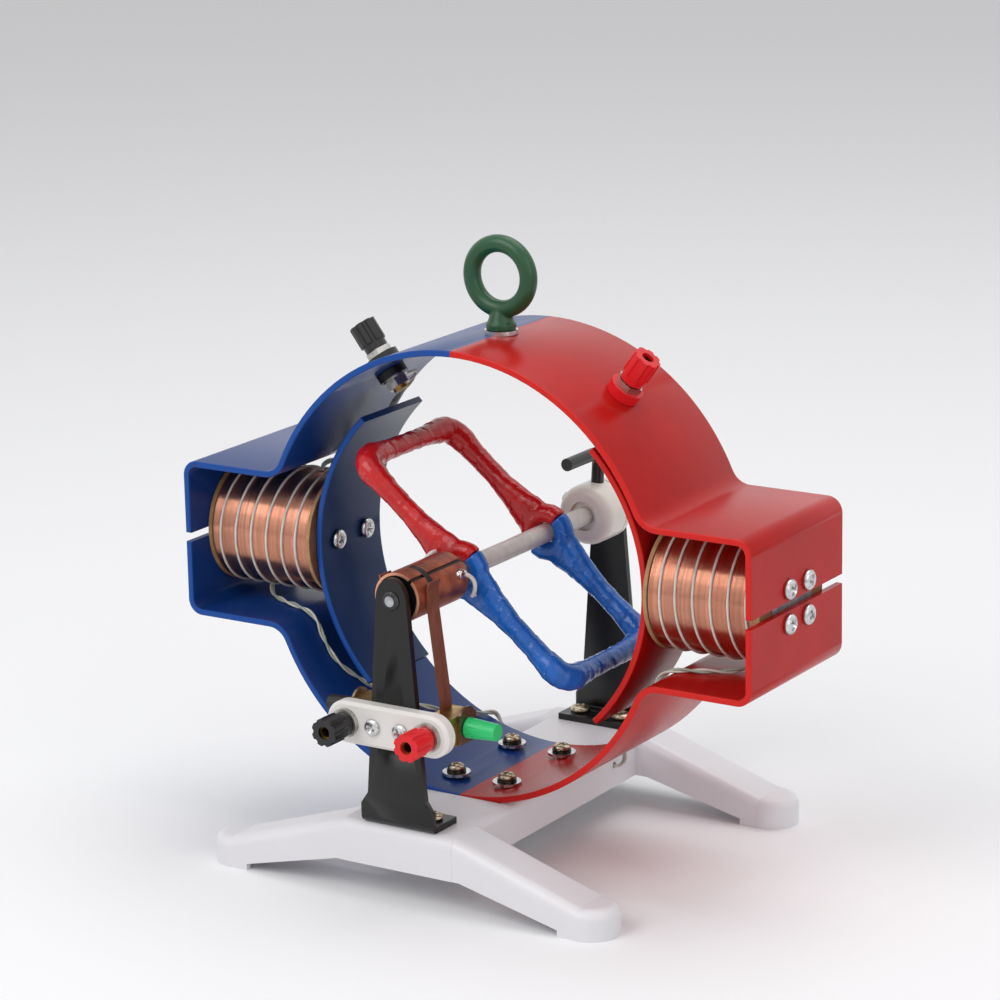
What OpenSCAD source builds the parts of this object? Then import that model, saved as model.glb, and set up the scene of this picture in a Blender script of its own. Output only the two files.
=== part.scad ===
// Demonstration electric motor for the classroom: a two-pole wound field in a split steel yoke,
// a single taped loop as armature with a two-part commutator, on a moulded base.
// Millimetres. X runs from the blue pole to the red pole, Y along the shaft from the commutator
// to the hub, Z up. The origin lies on the table, midway in the object's width and depth.

/* [Base] */
// Height of the base's flat top above the table
base_h = 28.5; // [24:0.5:40]
// Length of the base along the shaft
base_len = 156; // [150:1:190]
// Width of the spine between the cross legs
spine_w = 44; // [40:1:60]
// Width of a cross leg
leg_w = 21; // [16:0.5:26]
// Distance from the middle to the centre of a foot, across the base
foot_x = 77; // [60:1:100]
// Height of a foot
foot_h = 11.5; // [8:0.5:16]
// Height of the skirt's lower edge at the spine
skirt_z = 12.5; // [6:0.5:16]
// Height of the skirt's lower edge beside a foot
skirt_foot_z = 2.5; // [1:0.5:5]
// Wall of the base
base_wall = 2.5; // [2:0.25:3.5]
// Rounding of the base's upper edges
base_round = 4; // [3.5:0.5:6]
// Depth of the saddle that the yoke rests in
saddle_depth = 2; // [1:0.25:3]

/* [Yoke] */
// Outer radius of the round part of the yoke
ring_r = 86; // [82:0.5:100]
// Width of the yoke strip along the shaft
strip_w = 70; // [56:1:80]
// Thickness of the yoke strip
strip_t = 2.4; // [1.6:0.1:3.2]
// Distance from the middle to the outer face of a side box
box_reach = 124; // [118:1:140]
// Half of the height of a side box
box_half = 30.7; // [28:0.1:36]
// Outer radius of the bends at a box's corners
corner_r = 6; // [4:0.5:9]
// Radius of the hollow bend between the ring and a box
hollow_r = 8; // [5:0.5:12]
// Slit between the upper and the lower strip
slit = 3.5; // [2:0.1:5]

/* [Field] */
// Outer diameter of a field winding
winding_d = 46.6; // [40:0.2:50]
// Diameter of a spool's flanges
flange_d = 48; // [42:0.5:54]
// Thickness of a spool's flanges
flange_t = 1.5; // [1:0.1:2.5]
// Wall of a spool's tube
spool_wall = 1.2; // [0.8:0.1:2]
// Diameter of a pole core
core_d = 30; // [27:0.5:34]
// Outer radius of a pole shoe
shoe_r = 73; // [70:0.5:75]
// Thickness of a pole shoe
shoe_t = 2.4; // [1.6:0.1:3]
// Width of a pole shoe along the shaft
shoe_w = 40; // [30:1:50]
// Half of the angle that a pole shoe covers
shoe_half_angle = 46; // [35:1:55]
// Turns of the binding cord on a winding
cord_turns = 6; // [4:1:9]
// Diameter of the binding cord
cord_d = 1.2; // [0.8:0.1:1.6]

/* [Screws] */
// Diameter of the screws in the yoke, the base and the brackets
screw_d = 4; // [3:0.5:5]
// Head diameter of those screws
head_d = 7.8; // [7:0.1:9]
// Head height of those screws
head_h = 2.4; // [1.6:0.1:3]
// Outer diameter of the washers under the yoke's bolts
washer_d = 10.8; // [9:0.1:12]
// Thickness of those washers
washer_t = 1; // [0.6:0.1:1.4]
// Distance of a wall screw from the coil's axis, along the shaft
wall_screw_y = 7.1; // [6:0.1:9]
// Distance of a wall screw from the slit's middle, upwards or downwards
wall_screw_z = 6.5; // [6:0.1:8]
// Distance of a pole shoe screw from the middle
pole_screw_y = 9.5; // [7:0.5:11]
// Distance of a base bolt from the middle, across the base
base_bolt_x = 11.3; // [10:0.1:14]
// Distance of a base bolt from the middle, along the shaft
base_bolt_y = 19.7; // [14:0.1:26]

/* [Eye bolt] */
// Diameter of the eye's middle line
eye_d = 24.6; // [22:0.2:30]
// Diameter of the eye's bar
eye_bar_d = 6.7; // [5:0.1:8]
// Height of the eye's centre above the yoke
eye_rise = 21.5; // [20:0.5:26]
// Diameter of the collar
collar_d = 11.4; // [10:0.2:14]
// Diameter of the shank
shank_d = 8; // [6:0.5:9]

/* [Brackets] */
// Distance from the middle to the outer face of a bracket
bracket_y = 77; // [74:0.5:78]
// Thickness of the bracket plate
bracket_t = 2.5; // [1.5:0.1:3]
// Width of a bracket's foot
bracket_foot_w = 31.2; // [28:0.2:36]
// Width of a bracket above its foot
bracket_w = 25; // [20:0.5:27]
// Radius of a bracket's top, round the shaft
bracket_top_r = 8.2; // [7:0.1:10]
// Length of a bracket's foot along the shaft
bracket_foot_len = 16; // [14:0.5:20]

/* [Rotor] */
// Height of the shaft above the yoke's centre
shaft_rise = 2.5; // [0:0.5:4]
// Diameter of the shaft
shaft_d = 6; // [5:0.5:7]
// Diameter of the shaft's journals
journal_d = 4; // [3:0.5:4.5]
// Diameter of the sleeve on the shaft
sleeve_d = 7.4; // [7.2:0.1:9]
// Angle of the red half of the loop above the red pole's side, seen from the commutator
loop_angle = 140; // [100:1:170]
// Distance from the shaft to the middle of an end bar
loop_r = 57; // [50:0.5:60]
// Distance from the yoke's middle to the middle of a side of the loop
loop_y = 30; // [26:0.5:31]
// Thickness of the taped bundle between its corners
bundle_d = 8; // [6:0.2:9]
// Thickness of the taped bundle at its corners
bundle_corner_d = 10.4; // [9:0.2:12]
// Outer diameter of the commutator
commutator_d = 19; // [18:0.2:22]
// Wall of the copper shell
shell_t = 1; // [0.9:0.1:1.6]
// Front end of the commutator, from the yoke's middle
commutator_front = 73; // [72:0.5:73.5]
// Rear end of the commutator, from the yoke's middle
commutator_rear = 40.5; // [38:0.5:42]
// Width of the slots between the two segments
slot_w = 1.4; // [1:0.1:2.4]
// Diameter of the hub
hub_d = 24; // [20:0.5:28]
// Length of the hub
hub_len = 16.4; // [14:0.2:17.4]
// Distance of the crank handle's grip from the shaft
crank_r = 24; // [20:0.5:30]
// Diameter of the crank handle's rod
crank_d = 5; // [4:0.1:6]
// Length of the crank handle's grip
crank_len = 24; // [18:0.5:26]

/* [Terminals] */
// Width of the terminal plate
plate_w = 53; // [50:0.5:60]
// Height of the terminal plate
plate_h = 16; // [14:0.5:20]
// Thickness of the terminal plate
plate_t = 5; // [3:0.5:6]
// Height of the terminal plate's middle above the base
plate_rise = 39.3; // [34:0.1:46]
// Distance of an armature binding post from the middle
post_x = 17.8; // [16:0.1:19]
// Angle of the binding posts on the ring, from the top
post_angle = 37; // [30:0.5:42]
// Diameter of a binding post's stud
stud_d = 6; // [5.4:0.1:6.4]
// Diameter of the plug socket in a stud
socket_d = 4; // [3.5:0.05:4.2]
// Outer diameter of a binding post's knob
knob_d = 10.6; // [9.6:0.1:13]
// Length of a binding post's knob
knob_len = 11.5; // [10:0.5:14]

/* [Brushes] */
// Width of a brush strip
brush_w = 7.2; // [5:0.2:8]
// Thickness of a brush strip
brush_t = 0.6; // [0.4:0.1:0.8]
// Distance of the brushes from the yoke's middle, towards the front
brush_y = 64.6; // [64:0.1:66]
// Length of the thumb screws' grips
thumb_len = 12.5; // [10:0.5:15]
// Diameter of the thumb screws' grips at the wide end
thumb_d = 7.8; // [6:0.1:9]

/* [Fits] */
// Radial clearance of a turning fit
running = 0.05; // [0.02:0.01:0.09]
// Gap between fixed pieces that lie against each other
seat = 0.05; // [0.02:0.01:0.2]
// Gap between a screw and the wall of its hole
hole_gap = 0.2; // [0.1:0.05:0.5]

/* [Hidden] */
$fn = 64;

pole_blue = "#1c4a96";
pole_red = "#c8201e";
moulded_white = "#e4e2e6";
black_paint = "#1c1c1e";
black_plastic = "#202022";
steel = "#c9c9cc";
brass = "#a98446";
copper = "#a8552f";
enamelled_copper = "#b9683a";
fibreboard = "#8a6242";
cord_white = "#ece8e4";

yoke_z = base_h + ring_r - saddle_depth;
shaft_z = yoke_z + shaft_rise;
plate_z = base_h + plate_rise;
plate_front = bracket_y + plate_t;
stud_washer_t = 2.2;
knob_gap = 0.3;
front_reach = plate_front + stud_washer_t + knob_gap + knob_len;
yoke_y = (front_reach - base_len / 2) / 2;
past = 1;

// Boxes of the yoke
hollow_z = box_half + hollow_r;
hollow_x = sqrt(pow(ring_r + hollow_r, 2) - pow(hollow_z, 2));
hollow_angle = atan2(hollow_z, hollow_x);
wall_inner = box_reach - strip_t;

// Field coils, along X from the yoke's middle
spool_in = shoe_r + 0.6;
spool_out = wall_inner - 0.3;
winding_in = spool_in + flange_t;
winding_out = spool_out - flange_t;
tube_d = core_d + 2 * spool_wall + 2 * seat;
cord_rings = 24;
cord_line_r = (winding_d / 2 + cord_d / 2 + seat) / cos(180 / cord_rings);
cord_first_step = 4;
cord_step = (winding_out - winding_in - cord_first_step - 5 * cord_d) / (cord_turns - 1);

// Rotor, along Y from the yoke's middle
end_play = 0.3;
shoulder_y = bracket_y - bracket_t - end_play;
core_r = commutator_d / 2 - shell_t;
band_y = -63.2;
band_w = 3;
band_depth = 0.5;
hub_gap = 2.1;
hub_rear = bracket_y - bracket_t - hub_gap;
hub_front = hub_rear - hub_len;
crank_y = hub_rear - 6.4;
eye_bar_r = 3.8;
eye_line_r = sleeve_d / 2 + seat + eye_bar_r;

// Binding posts
nut_flats = 8.4;
nut_h = 2.4;
knob_bore_r = stud_d / 2 + running;
bush_flange_t = 4;
bush_flange_d = 13;
bush_neck_d = stud_d + 3;
lug_t = 0.8;
knob_front_wall = 1.6;

// Brushes
block_w = 10;
block_h = 11;
block_len = 18;
block_z = plate_z - 0.2;
clamp_t = 1;
thumb_screw_d = 3;
brush_gap = 0.1;

// Leads: points from the yoke's middle, x, y, z. The link between the coils is the same on both sides:
// from under the right coil along the inside of the yoke, over its rear edge and into the spine.
lead_d = 2;
link_half = [[106, -4, -23.5], [106, -4.6, -25.5], [103, -7.5, -27], [94, -13, -27.1], [86, -16, -27.2],
             [79.7, -17, -28.4], [75.6, -17, -32.2], [73.5, -17, -37.3], [68, -16, -46.5],
             [61, -9, -55.4], [53, 0, -63.1], [44, 12, -69.7], [36, 24, -74.1], [33, 30, -75.4],
             [31, 35, -76.2], [30, 37.5, -77.2], [28.5, 38.6, -80.5], [27.5, 40, -84.5],
             [26.5, 41, -88.5], [24, 41, -91], [15, 41, -91]];
link_lead = concat(link_half, [[0, 41, -91]],
                   [for (i = [len(link_half) - 1:-1:0]) [-link_half[i][0], link_half[i][1], link_half[i][2]]]);
post_lead = [[48, 12.2, 63.8], [48, 14.5, 63.8], [50.5, 16, 60.8], [55.5, 16.4, 55.5], [64, 16, 45],
             [70, 14, 35.5], [75.3, 10, 30], [79, 6, 27.2], [81.8, 2.6, 26.9], [83, 0.4, 25.6],
             [83, 0, 23.5]];
lead_hole_y = 41;
lead_hole_z = -91;

// ---- Placing and small shapes ----

// A front view in X and Z above the table, drawn from y0 to y1 of the yoke's middle.
module along_y(y0, y1)
    translate([0, yoke_y + y1, 0])
        rotate([90, 0, 0])
            linear_extrude(y1 - y0)
                children();

// A side view in Y and Z, drawn from x0 to x1.
module along_x(x0, x1)
    translate([x0, 0, 0])
        rotate([90, 0, 90])
            linear_extrude(x1 - x0)
                children();

// Local Z runs along +Y from the yoke's middle, on the shaft.
module on_shaft(y)
    translate([0, yoke_y + y, shaft_z])
        rotate([-90, 0, 0])
            children();

// Local Z runs outwards along X from the yoke's middle: side is -1 for left, 1 for right.
module toward(side)
    translate([0, yoke_y, yoke_z])
        rotate([0, 90 * side, 0])
            children();

// Local Z runs outwards through the ring, at an angle from the top.
module on_ring(angle)
    translate([0, yoke_y, yoke_z])
        rotate([0, angle, 0])
            children();

// Local Z runs towards the front from the terminal plate's face.
module on_plate(x)
    translate([x, yoke_y - plate_front, plate_z])
        rotate([90, 0, 0])
            children();

module wedge(reach, from, to)
    polygon(concat([[0, 0]], [for (i = [0:4]) let (a = from + (to - from) * i / 4) reach * [cos(a), sin(a)]]));

module ring_band(r, t, from, to)
    intersection() {
        difference() {
            circle(r, $fn = 128);
            circle(r - t, $fn = 128);
        }
        wedge(1.5 * r, from, to);
    }

module tube(d, bore, h)
    difference() {
        cylinder(d = d, h = h);
        translate([0, 0, -past])
            cylinder(d = bore, h = h + 2 * past);
    }

module rounded_bar(w, h, r) {
    translate([-w / 2, 0])
        square([w, h - r]);
    translate([-w / 2 + r, 0])
        square([w - 2 * r, h]);
    for (x = [-w / 2 + r, w / 2 - r])
        translate([x, h - r])
            circle(r);
}

// A pan head screw with a cross recess; local Z points out of the head, z = 0 is under the head.
module pan_screw(d, head, height, length) {
    translate([0, 0, -length])
        cylinder(d = d, h = length + height / 2);
    difference() {
        rotate_extrude()
            polygon([[0, 0], [head / 2, 0], [head / 2, height * 0.45], [head * 0.42, height * 0.8],
                     [head * 0.28, height], [0, height]]);
        for (a = [0, 90])
            rotate(a)
                translate([-head * 0.29, -head * 0.07, height * 0.45])
                    cube([head * 0.58, head * 0.14, height]);
    }
}

module hex_nut(flats, h, bore)
    difference() {
        cylinder(d = flats / cos(30), h = h, $fn = 6);
        translate([0, 0, -past])
            cylinder(d = bore, h = h + 2 * past);
    }

// ---- Swept round tubes ----

function unit(v) = v / norm(v);
function way(p, i) = unit(p[min(i + 1, len(p) - 1)] - p[max(i - 1, 0)]);
function section(p, i, up, r, sides) =
    let (t = way(p, i), n = unit(up - (up * t) * t), b = cross(t, n))
    [for (k = [0:sides - 1]) p[i] + r * (cos(360 * k / sides) * n + sin(360 * k / sides) * b)];

// One unbroken tube through points p; ups gives a direction across the tube at each point, and r is
// one radius or a list with a radius for each point.
module sweep(p, ups, r, sides) {
    points = [for (i = [0:len(p) - 1]) each section(p, i, ups[i], is_list(r) ? r[i] : r, sides)];
    last = (len(p) - 1) * sides;
    walls = [for (i = [0:len(p) - 2]) for (k = [0:sides - 1])
             let (a = i * sides + k, b = i * sides + (k + 1) % sides)
             each [[a, a + sides, b], [b, a + sides, b + sides]]];
    ends = [for (k = [1:sides - 2]) each [[0, k, k + 1], [last, last + k + 1, last + k]]];
    polyhedron(points = points, faces = concat(walls, ends), convexity = 4);
}

// ---- Base ----

leg_y = base_len / 2 - leg_w / 2;
leg_slope = atan2(base_h - foot_h, foot_x - spine_w / 2 - 2);
slope_start = spine_w / 2 + 2;
leg_step = 0.15;
leg_depth = 60;

// The sloping part of a leg on the right, from the spine to the foot, shrunk by inset. It is a small
// step narrower and lower all round, so that its ends lie wholly within the spine's and the foot's.
module sloping_leg(inset)
    intersection() {
        translate([slope_start, 0, base_h - leg_step])
            rotate([0, leg_slope, 0])
                translate([-spine_w / 2, 0, -leg_depth - inset])
                    rotate([90, 0, 90])
                        linear_extrude(2 * foot_x)
                            rounded_bar(leg_w - 2 * inset - 2 * leg_step, leg_depth, base_round - inset);
        translate([slope_start, -leg_w, -inset])
            cube([foot_x - slope_start, 2 * leg_w, base_h + inset]);
    }

module foot(inset)
    translate([foot_x, 0, 0])
        rotate_extrude()
            intersection() {
                rounded_bar(leg_w - 2 * inset, foot_h - inset, base_round - inset);
                square([leg_w, base_h]);
            }

module cross_leg(inset) {
    for (side = [0, 1])
        mirror([side, 0, 0]) {
            sloping_leg(inset);
            foot(inset);
        }
    translate([-slope_start, 0, 0])
        rotate([90, 0, 90])
            linear_extrude(2 * slope_start)
                rounded_bar(leg_w - 2 * inset, base_h - inset, base_round - inset);
}

module base_body(inset) {
    for (y = [-leg_y, leg_y])
        translate([0, yoke_y + y, 0])
            cross_leg(inset);
    along_y(-leg_y, leg_y)
        rounded_bar(spine_w - 2 * inset, base_h - inset, base_round - inset);
}

module skirt_cut() {
    notch_x = foot_x - leg_w / 2 + 2;
    skirt_x = slope_start + 3;
    along_y(-base_len, base_len)
        polygon([[-notch_x, -past], [-notch_x, skirt_foot_z], [-skirt_x, skirt_z],
                 [skirt_x, skirt_z], [notch_x, skirt_foot_z], [notch_x, -past]]);
}

module base_bolt_places()
    for (x = [-base_bolt_x, base_bolt_x], y = [-base_bolt_y, base_bolt_y])
        translate([x, yoke_y + y, 0])
            children();

bracket_screw_x = bracket_foot_w / 2 - 6.2;
bracket_screw_y = bracket_y - bracket_foot_len + 6.5;

module bracket_screw_places()
    for (x = [-bracket_screw_x, bracket_screw_x], y = [-bracket_screw_y, bracket_screw_y])
        translate([x, yoke_y + y, 0])
            children();

boss_z = base_h - saddle_depth - 8;
pad_t = 3;

module base()
    color(moulded_white)
        difference() {
            union() {
                difference() {
                    base_body(0);
                    base_body(base_wall);
                }
                base_bolt_places()
                    translate([0, 0, boss_z])
                        cylinder(d = screw_d + 6, h = base_h - base_wall / 2 - boss_z);
                bracket_screw_places()
                    translate([0, 0, boss_z])
                        cylinder(d = screw_d + 5, h = base_h - base_wall / 2 - boss_z);
                translate([-spine_w / 2 + base_wall / 2, yoke_y - strip_w / 2, base_h - saddle_depth - pad_t])
                    cube([spine_w - base_wall, strip_w, saddle_depth + pad_t - base_wall / 2]);
            }
            skirt_cut();
            translate([0, yoke_y + lead_hole_y, yoke_z + lead_hole_z])
                rotate([0, 90, 0])
                    cylinder(d = lead_d + 2 * hole_gap, h = 2 * spine_w, center = true);
            along_y(-strip_w / 2 - 0.3, strip_w / 2 + 0.3)
                translate([0, yoke_z])
                    circle(ring_r + seat, $fn = 128);
            base_bolt_places()
                cylinder(d = screw_d + 2 * hole_gap, h = base_h + past);
            bracket_screw_places()
                translate([0, 0, boss_z - past])
                    cylinder(d = screw_d + 2 * running, h = base_h);
        }

// ---- Yoke ----

hollow_steps = 6;

// The outline of the strip's outside, shrunk by inset. Each hollow bend runs a little past its ends,
// so that it crosses the ring and the box's edge and doesn't only touch them.
module strip_outline(inset) {
    r = hollow_r + inset;
    corner = corner_r - inset;
    reach = box_reach - inset;
    half = box_half - inset;
    bend = [for (i = [0:hollow_steps]) let (a = 180 + hollow_angle + (90 - hollow_angle) * i / hollow_steps)
            [hollow_x, hollow_z] + r * [cos(a), sin(a)]];
    bend_start = bend[0] + (bend[0] - bend[1]) / 2;
    bend_end = bend[hollow_steps] + (bend[hollow_steps] - bend[hollow_steps - 1]) / 2;
    circle(ring_r - inset, $fn = 128);
    translate([-reach, -half + corner])
        square([2 * reach, 2 * (half - corner)]);
    translate([-reach + corner, -half])
        square([2 * (reach - corner), 2 * half]);
    for (x = [-1, 1], z = [-1, 1]) {
        translate([x * (reach - corner), z * (half - corner)])
            circle(corner);
        mirror([x < 0 ? 1 : 0, 0])
            mirror([0, z < 0 ? 1 : 0])
                polygon(concat([bend_start], [for (i = [1:hollow_steps - 1]) bend[i]],
                               [bend_end, [hollow_x, half - 4], [hollow_x - 22, half - 4]]));
    }
}

module yoke_strip()
    along_y(-strip_w / 2, strip_w / 2)
        translate([0, yoke_z])
            difference() {
                strip_outline(0);
                strip_outline(strip_t);
            }

module half_room(sign)
    translate([-box_reach - past, yoke_y - strip_w, sign > 0 ? yoke_z + slit / 2 : yoke_z - slit / 2 - 2 * ring_r])
        cube([2 * (box_reach + past), 2 * strip_w, 2 * ring_r]);

module wall_screw_places()
    for (side = [-1, 1])
        toward(side)
            for (y = [-wall_screw_y, wall_screw_y], z = [-wall_screw_z, wall_screw_z])
                translate([z, y, box_reach])
                    children();

module two_tone()
    for (side = [-1, 1])
        color(side < 0 ? pole_blue : pole_red)
            intersection() {
                children();
                translate([side < 0 ? -2 * box_reach : 0, yoke_y - strip_w, 0])
                    cube([2 * box_reach, 2 * strip_w, 4 * ring_r]);
            }

module upper_yoke()
    two_tone()
        difference() {
            intersection() {
                yoke_strip();
                half_room(1);
            }
            wall_screw_places()
                translate([0, 0, -2 * strip_t])
                    cylinder(d = screw_d + 2 * hole_gap, h = 3 * strip_t);
            translate([0, yoke_y, yoke_z])
                cylinder(d = shank_d + 2 * hole_gap, h = ring_r + past);
            for (side = [-1, 1])
                on_ring(side * post_angle)
                    translate([0, 0, ring_r - 3 * strip_t])
                        cylinder(d = bush_neck_d + 2 * hole_gap, h = 4 * strip_t);
        }

module lower_yoke()
    two_tone()
        difference() {
            intersection() {
                yoke_strip();
                half_room(-1);
            }
            wall_screw_places()
                translate([0, 0, -2 * strip_t])
                    cylinder(d = screw_d + 2 * hole_gap, h = 3 * strip_t);
            base_bolt_places()
                cylinder(d = screw_d + 2 * hole_gap, h = yoke_z);
        }

// ---- Field poles ----

module core(side) {
    pole_z = shoe_r - 0.5;
    color(steel)
        difference() {
            toward(side)
                translate([0, 0, pole_z - 6])
                    cylinder(d = core_d, h = wall_inner - seat - pole_z + 6);
            along_y(-core_d, core_d)
                translate([0, yoke_z])
                    circle(shoe_r + seat, $fn = 128);
            toward(side) {
                for (y = [-pole_screw_y, pole_screw_y])
                    translate([0, y, 0])
                        cylinder(d = screw_d + 2 * running, h = shoe_r + 10);
                for (y = [-wall_screw_y, wall_screw_y], z = [-wall_screw_z, wall_screw_z])
                    translate([z, y, box_reach - 14])
                        cylinder(d = screw_d + 2 * running, h = 20);
            }
        }
}

module left_core() core(-1);
module right_core() core(1);

module spool(side)
    color(fibreboard)
        toward(side)
            translate([0, 0, spool_in])
                difference() {
                    union() {
                        cylinder(d = tube_d, h = spool_out - spool_in);
                        for (z = [0, spool_out - spool_in - flange_t])
                            translate([0, 0, z])
                                cylinder(d = flange_d, h = flange_t);
                    }
                    translate([0, 0, -past])
                        cylinder(d = core_d + 2 * seat, h = box_reach);
                }

module left_spool() spool(-1);
module right_spool() spool(1);

module winding(side)
    color(enamelled_copper)
        toward(side)
            translate([0, 0, winding_in + seat])
                tube(winding_d, tube_d + 2 * seat, winding_out - winding_in - 2 * seat);

module left_winding() winding(-1);
module right_winding() winding(1);

// The cord lies on the winding as one helix, with its ends straight against the flanges.
function cord_x(turn) = winding_in + 2.5 * cord_d
    + (turn < 1 ? cord_first_step * turn : cord_first_step + cord_step * (turn - 1));
function on_winding(x, a) = [cord_line_r * cos(a), cord_line_r * sin(a), x];
cord_lead_angle = -6;
cord_path = concat(
    [on_winding(winding_in + seat, cord_lead_angle), on_winding(winding_in + cord_d + seat, cord_lead_angle)],
    [for (i = [0:cord_turns * cord_rings]) on_winding(cord_x(i / cord_rings), 360 * i / cord_rings)],
    [on_winding(winding_out - cord_d - seat, -cord_lead_angle), on_winding(winding_out - seat, -cord_lead_angle)]);
cord_ups = [for (p = cord_path) [p[0], p[1], 0]];
cord_gap = min([for (i = [0:len(cord_path) - 1]) for (j = [i + cord_rings / 2:1:len(cord_path) - 1])
                norm(cord_path[i] - cord_path[j])]) - cord_d;
echo("least gap between turns of the binding cord, mm", cord_gap);

module binding_cord(side)
    color(cord_white)
        mirror([side < 0 ? 1 : 0, 0, 0])
            toward(1)
                sweep(cord_path, cord_ups, cord_d / 2, 6);

module left_binding_cord() binding_cord(-1);
module right_binding_cord() binding_cord(1);

module pole_shoe(side)
    color(side < 0 ? pole_blue : pole_red)
        difference() {
            along_y(-shoe_w / 2, shoe_w / 2)
                translate([0, yoke_z])
                    mirror([side < 0 ? 1 : 0, 0])
                        ring_band(shoe_r, shoe_t, -shoe_half_angle, shoe_half_angle);
            toward(side)
                for (y = [-pole_screw_y, pole_screw_y])
                    translate([0, y, 0])
                        cylinder(d = screw_d + 2 * hole_gap, h = ring_r);
        }

module left_pole_shoe() pole_shoe(-1);
module right_pole_shoe() pole_shoe(1);

wall_screw_len = 12;
pole_screw_len = 11;

module wall_screws()
    color(steel)
        wall_screw_places()
            translate([0, 0, seat])
                pan_screw(screw_d, head_d, head_h, wall_screw_len);

module pole_screws()
    color(steel)
        for (side = [-1, 1], y = [-pole_screw_y, pole_screw_y])
            toward(side)
                translate([0, y, shoe_r - shoe_t - 0.15])
                    rotate([180, 0, 0])
                        pan_screw(screw_d, head_d, head_h, pole_screw_len);

// ---- Bolts of the base ----

washer_z = yoke_z - sqrt(pow(ring_r - strip_t, 2) - pow(base_bolt_x + washer_d / 2, 2)) + seat;
base_nut_h = 3.2;

module base_bolts()
    color(steel)
        base_bolt_places()
            translate([0, 0, washer_z + washer_t + seat])
                pan_screw(screw_d, head_d, head_h + 0.6, washer_z - boss_z + washer_t + base_nut_h + 1);

module base_washers()
    color(steel)
        base_bolt_places()
            translate([0, 0, washer_z])
                tube(washer_d, screw_d + 2 * hole_gap, washer_t);

module base_nuts()
    color(steel)
        base_bolt_places()
            translate([0, 0, boss_z - base_nut_h - seat])
                hex_nut(7, base_nut_h, screw_d + 2 * running);

// ---- Eye bolt ----

eye_washer_d = 17;
eye_washer_t = 1.6;
eye_nut_h = 6.5;
collar_h = 2.6;

module eye_bolt()
    color("#2c5c38")
        translate([0, yoke_y, yoke_z + ring_r]) {
            translate([0, 0, eye_rise])
                rotate([90, 0, 0])
                    rotate_extrude($fn = 96)
                        translate([eye_d / 2, 0])
                            circle(d = eye_bar_d);
            translate([0, 0, eye_washer_t + seat]) {
                cylinder(d = collar_d, h = collar_h);
                translate([0, 0, collar_h])
                    cylinder(d1 = collar_d * 0.9, d2 = eye_bar_d * 1.02,
                             h = eye_rise - eye_d / 2 - collar_h - eye_washer_t - seat);
            }
            translate([0, 0, -strip_t - eye_nut_h - 3])
                cylinder(d = shank_d, h = strip_t + eye_nut_h + 6);
        }

module eye_washer()
    color(steel)
        translate([0, yoke_y, yoke_z + ring_r + seat / 2])
            tube(eye_washer_d, shank_d + 2 * hole_gap, eye_washer_t);

module eye_nut()
    color(steel)
        translate([0, yoke_y, yoke_z + sqrt(pow(ring_r - strip_t, 2) - pow(7.6, 2)) - eye_nut_h - seat])
            hex_nut(13, eye_nut_h, shank_d + 2 * running);

// ---- Binding posts ----

lower_bush_t = 3;
lower_bush_d = 12;
bush_inner_z = sqrt(pow(ring_r - strip_t, 2) - pow(lower_bush_d / 2, 2)) - seat;
lug_z = bush_inner_z - lower_bush_t - seat - lug_t;
lug_reach = 12;
field_nut_z = lug_z - seat - 3.2;
field_knob_z = ring_r + seat + bush_flange_t + seat + nut_h + knob_gap;
stud_front = knob_len - knob_front_wall;

module field_bush(side)
    on_ring(side * post_angle)
        difference() {
            union() {
                translate([0, 0, ring_r + seat])
                    cylinder(d = bush_flange_d, h = bush_flange_t);
                translate([0, 0, ring_r - strip_t / 2])
                    cylinder(d = bush_neck_d, h = strip_t);
                translate([0, 0, bush_inner_z - lower_bush_t])
                    cylinder(d = lower_bush_d, h = lower_bush_t);
                translate([0, 0, bush_inner_z - seat])
                    cylinder(d = bush_neck_d, h = ring_r - strip_t / 2 - seat - bush_inner_z);
            }
            translate([0, 0, ring_r - 10 * strip_t])
                cylinder(d = stud_d + 2 * seat, h = 20 * strip_t);
        }

module black_field_bush()
    color(black_plastic)
        field_bush(-1);

module red_field_bush()
    color(pole_red)
        field_bush(1);

// A binding post's stud from z = tail to its front end, with the plug socket in its front.
module stud(tail, front)
    difference() {
        translate([0, 0, tail])
            cylinder(d = stud_d, h = front - tail);
        translate([0, 0, front - stud_front - nut_h])
            cylinder(d = socket_d, h = stud_front + nut_h + past);
    }

module field_studs()
    color(brass)
        for (side = [-1, 1])
            on_ring(side * post_angle)
                stud(field_nut_z - 1.4, field_knob_z + stud_front);

module field_nuts()
    color(steel)
        for (side = [-1, 1])
            on_ring(side * post_angle) {
                translate([0, 0, ring_r + bush_flange_t + 2 * seat])
                    hex_nut(nut_flats + 1, nut_h, stud_d + 2 * running);
                translate([0, 0, field_nut_z])
                    hex_nut(nut_flats, 3.2, stud_d + 2 * running);
            }

module field_lugs()
    color(steel)
        for (side = [-1, 1])
            on_ring(side * post_angle)
                translate([0, 0, lug_z])
                    difference() {
                        union() {
                            cylinder(d = stud_d + 4, h = lug_t);
                            translate([-2, 0, 0])
                                cube([4, lug_reach, lug_t]);
                        }
                        translate([0, 0, -past])
                            cylinder(d = stud_d + 2 * seat, h = lug_t + 2 * past);
                    }

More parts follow.
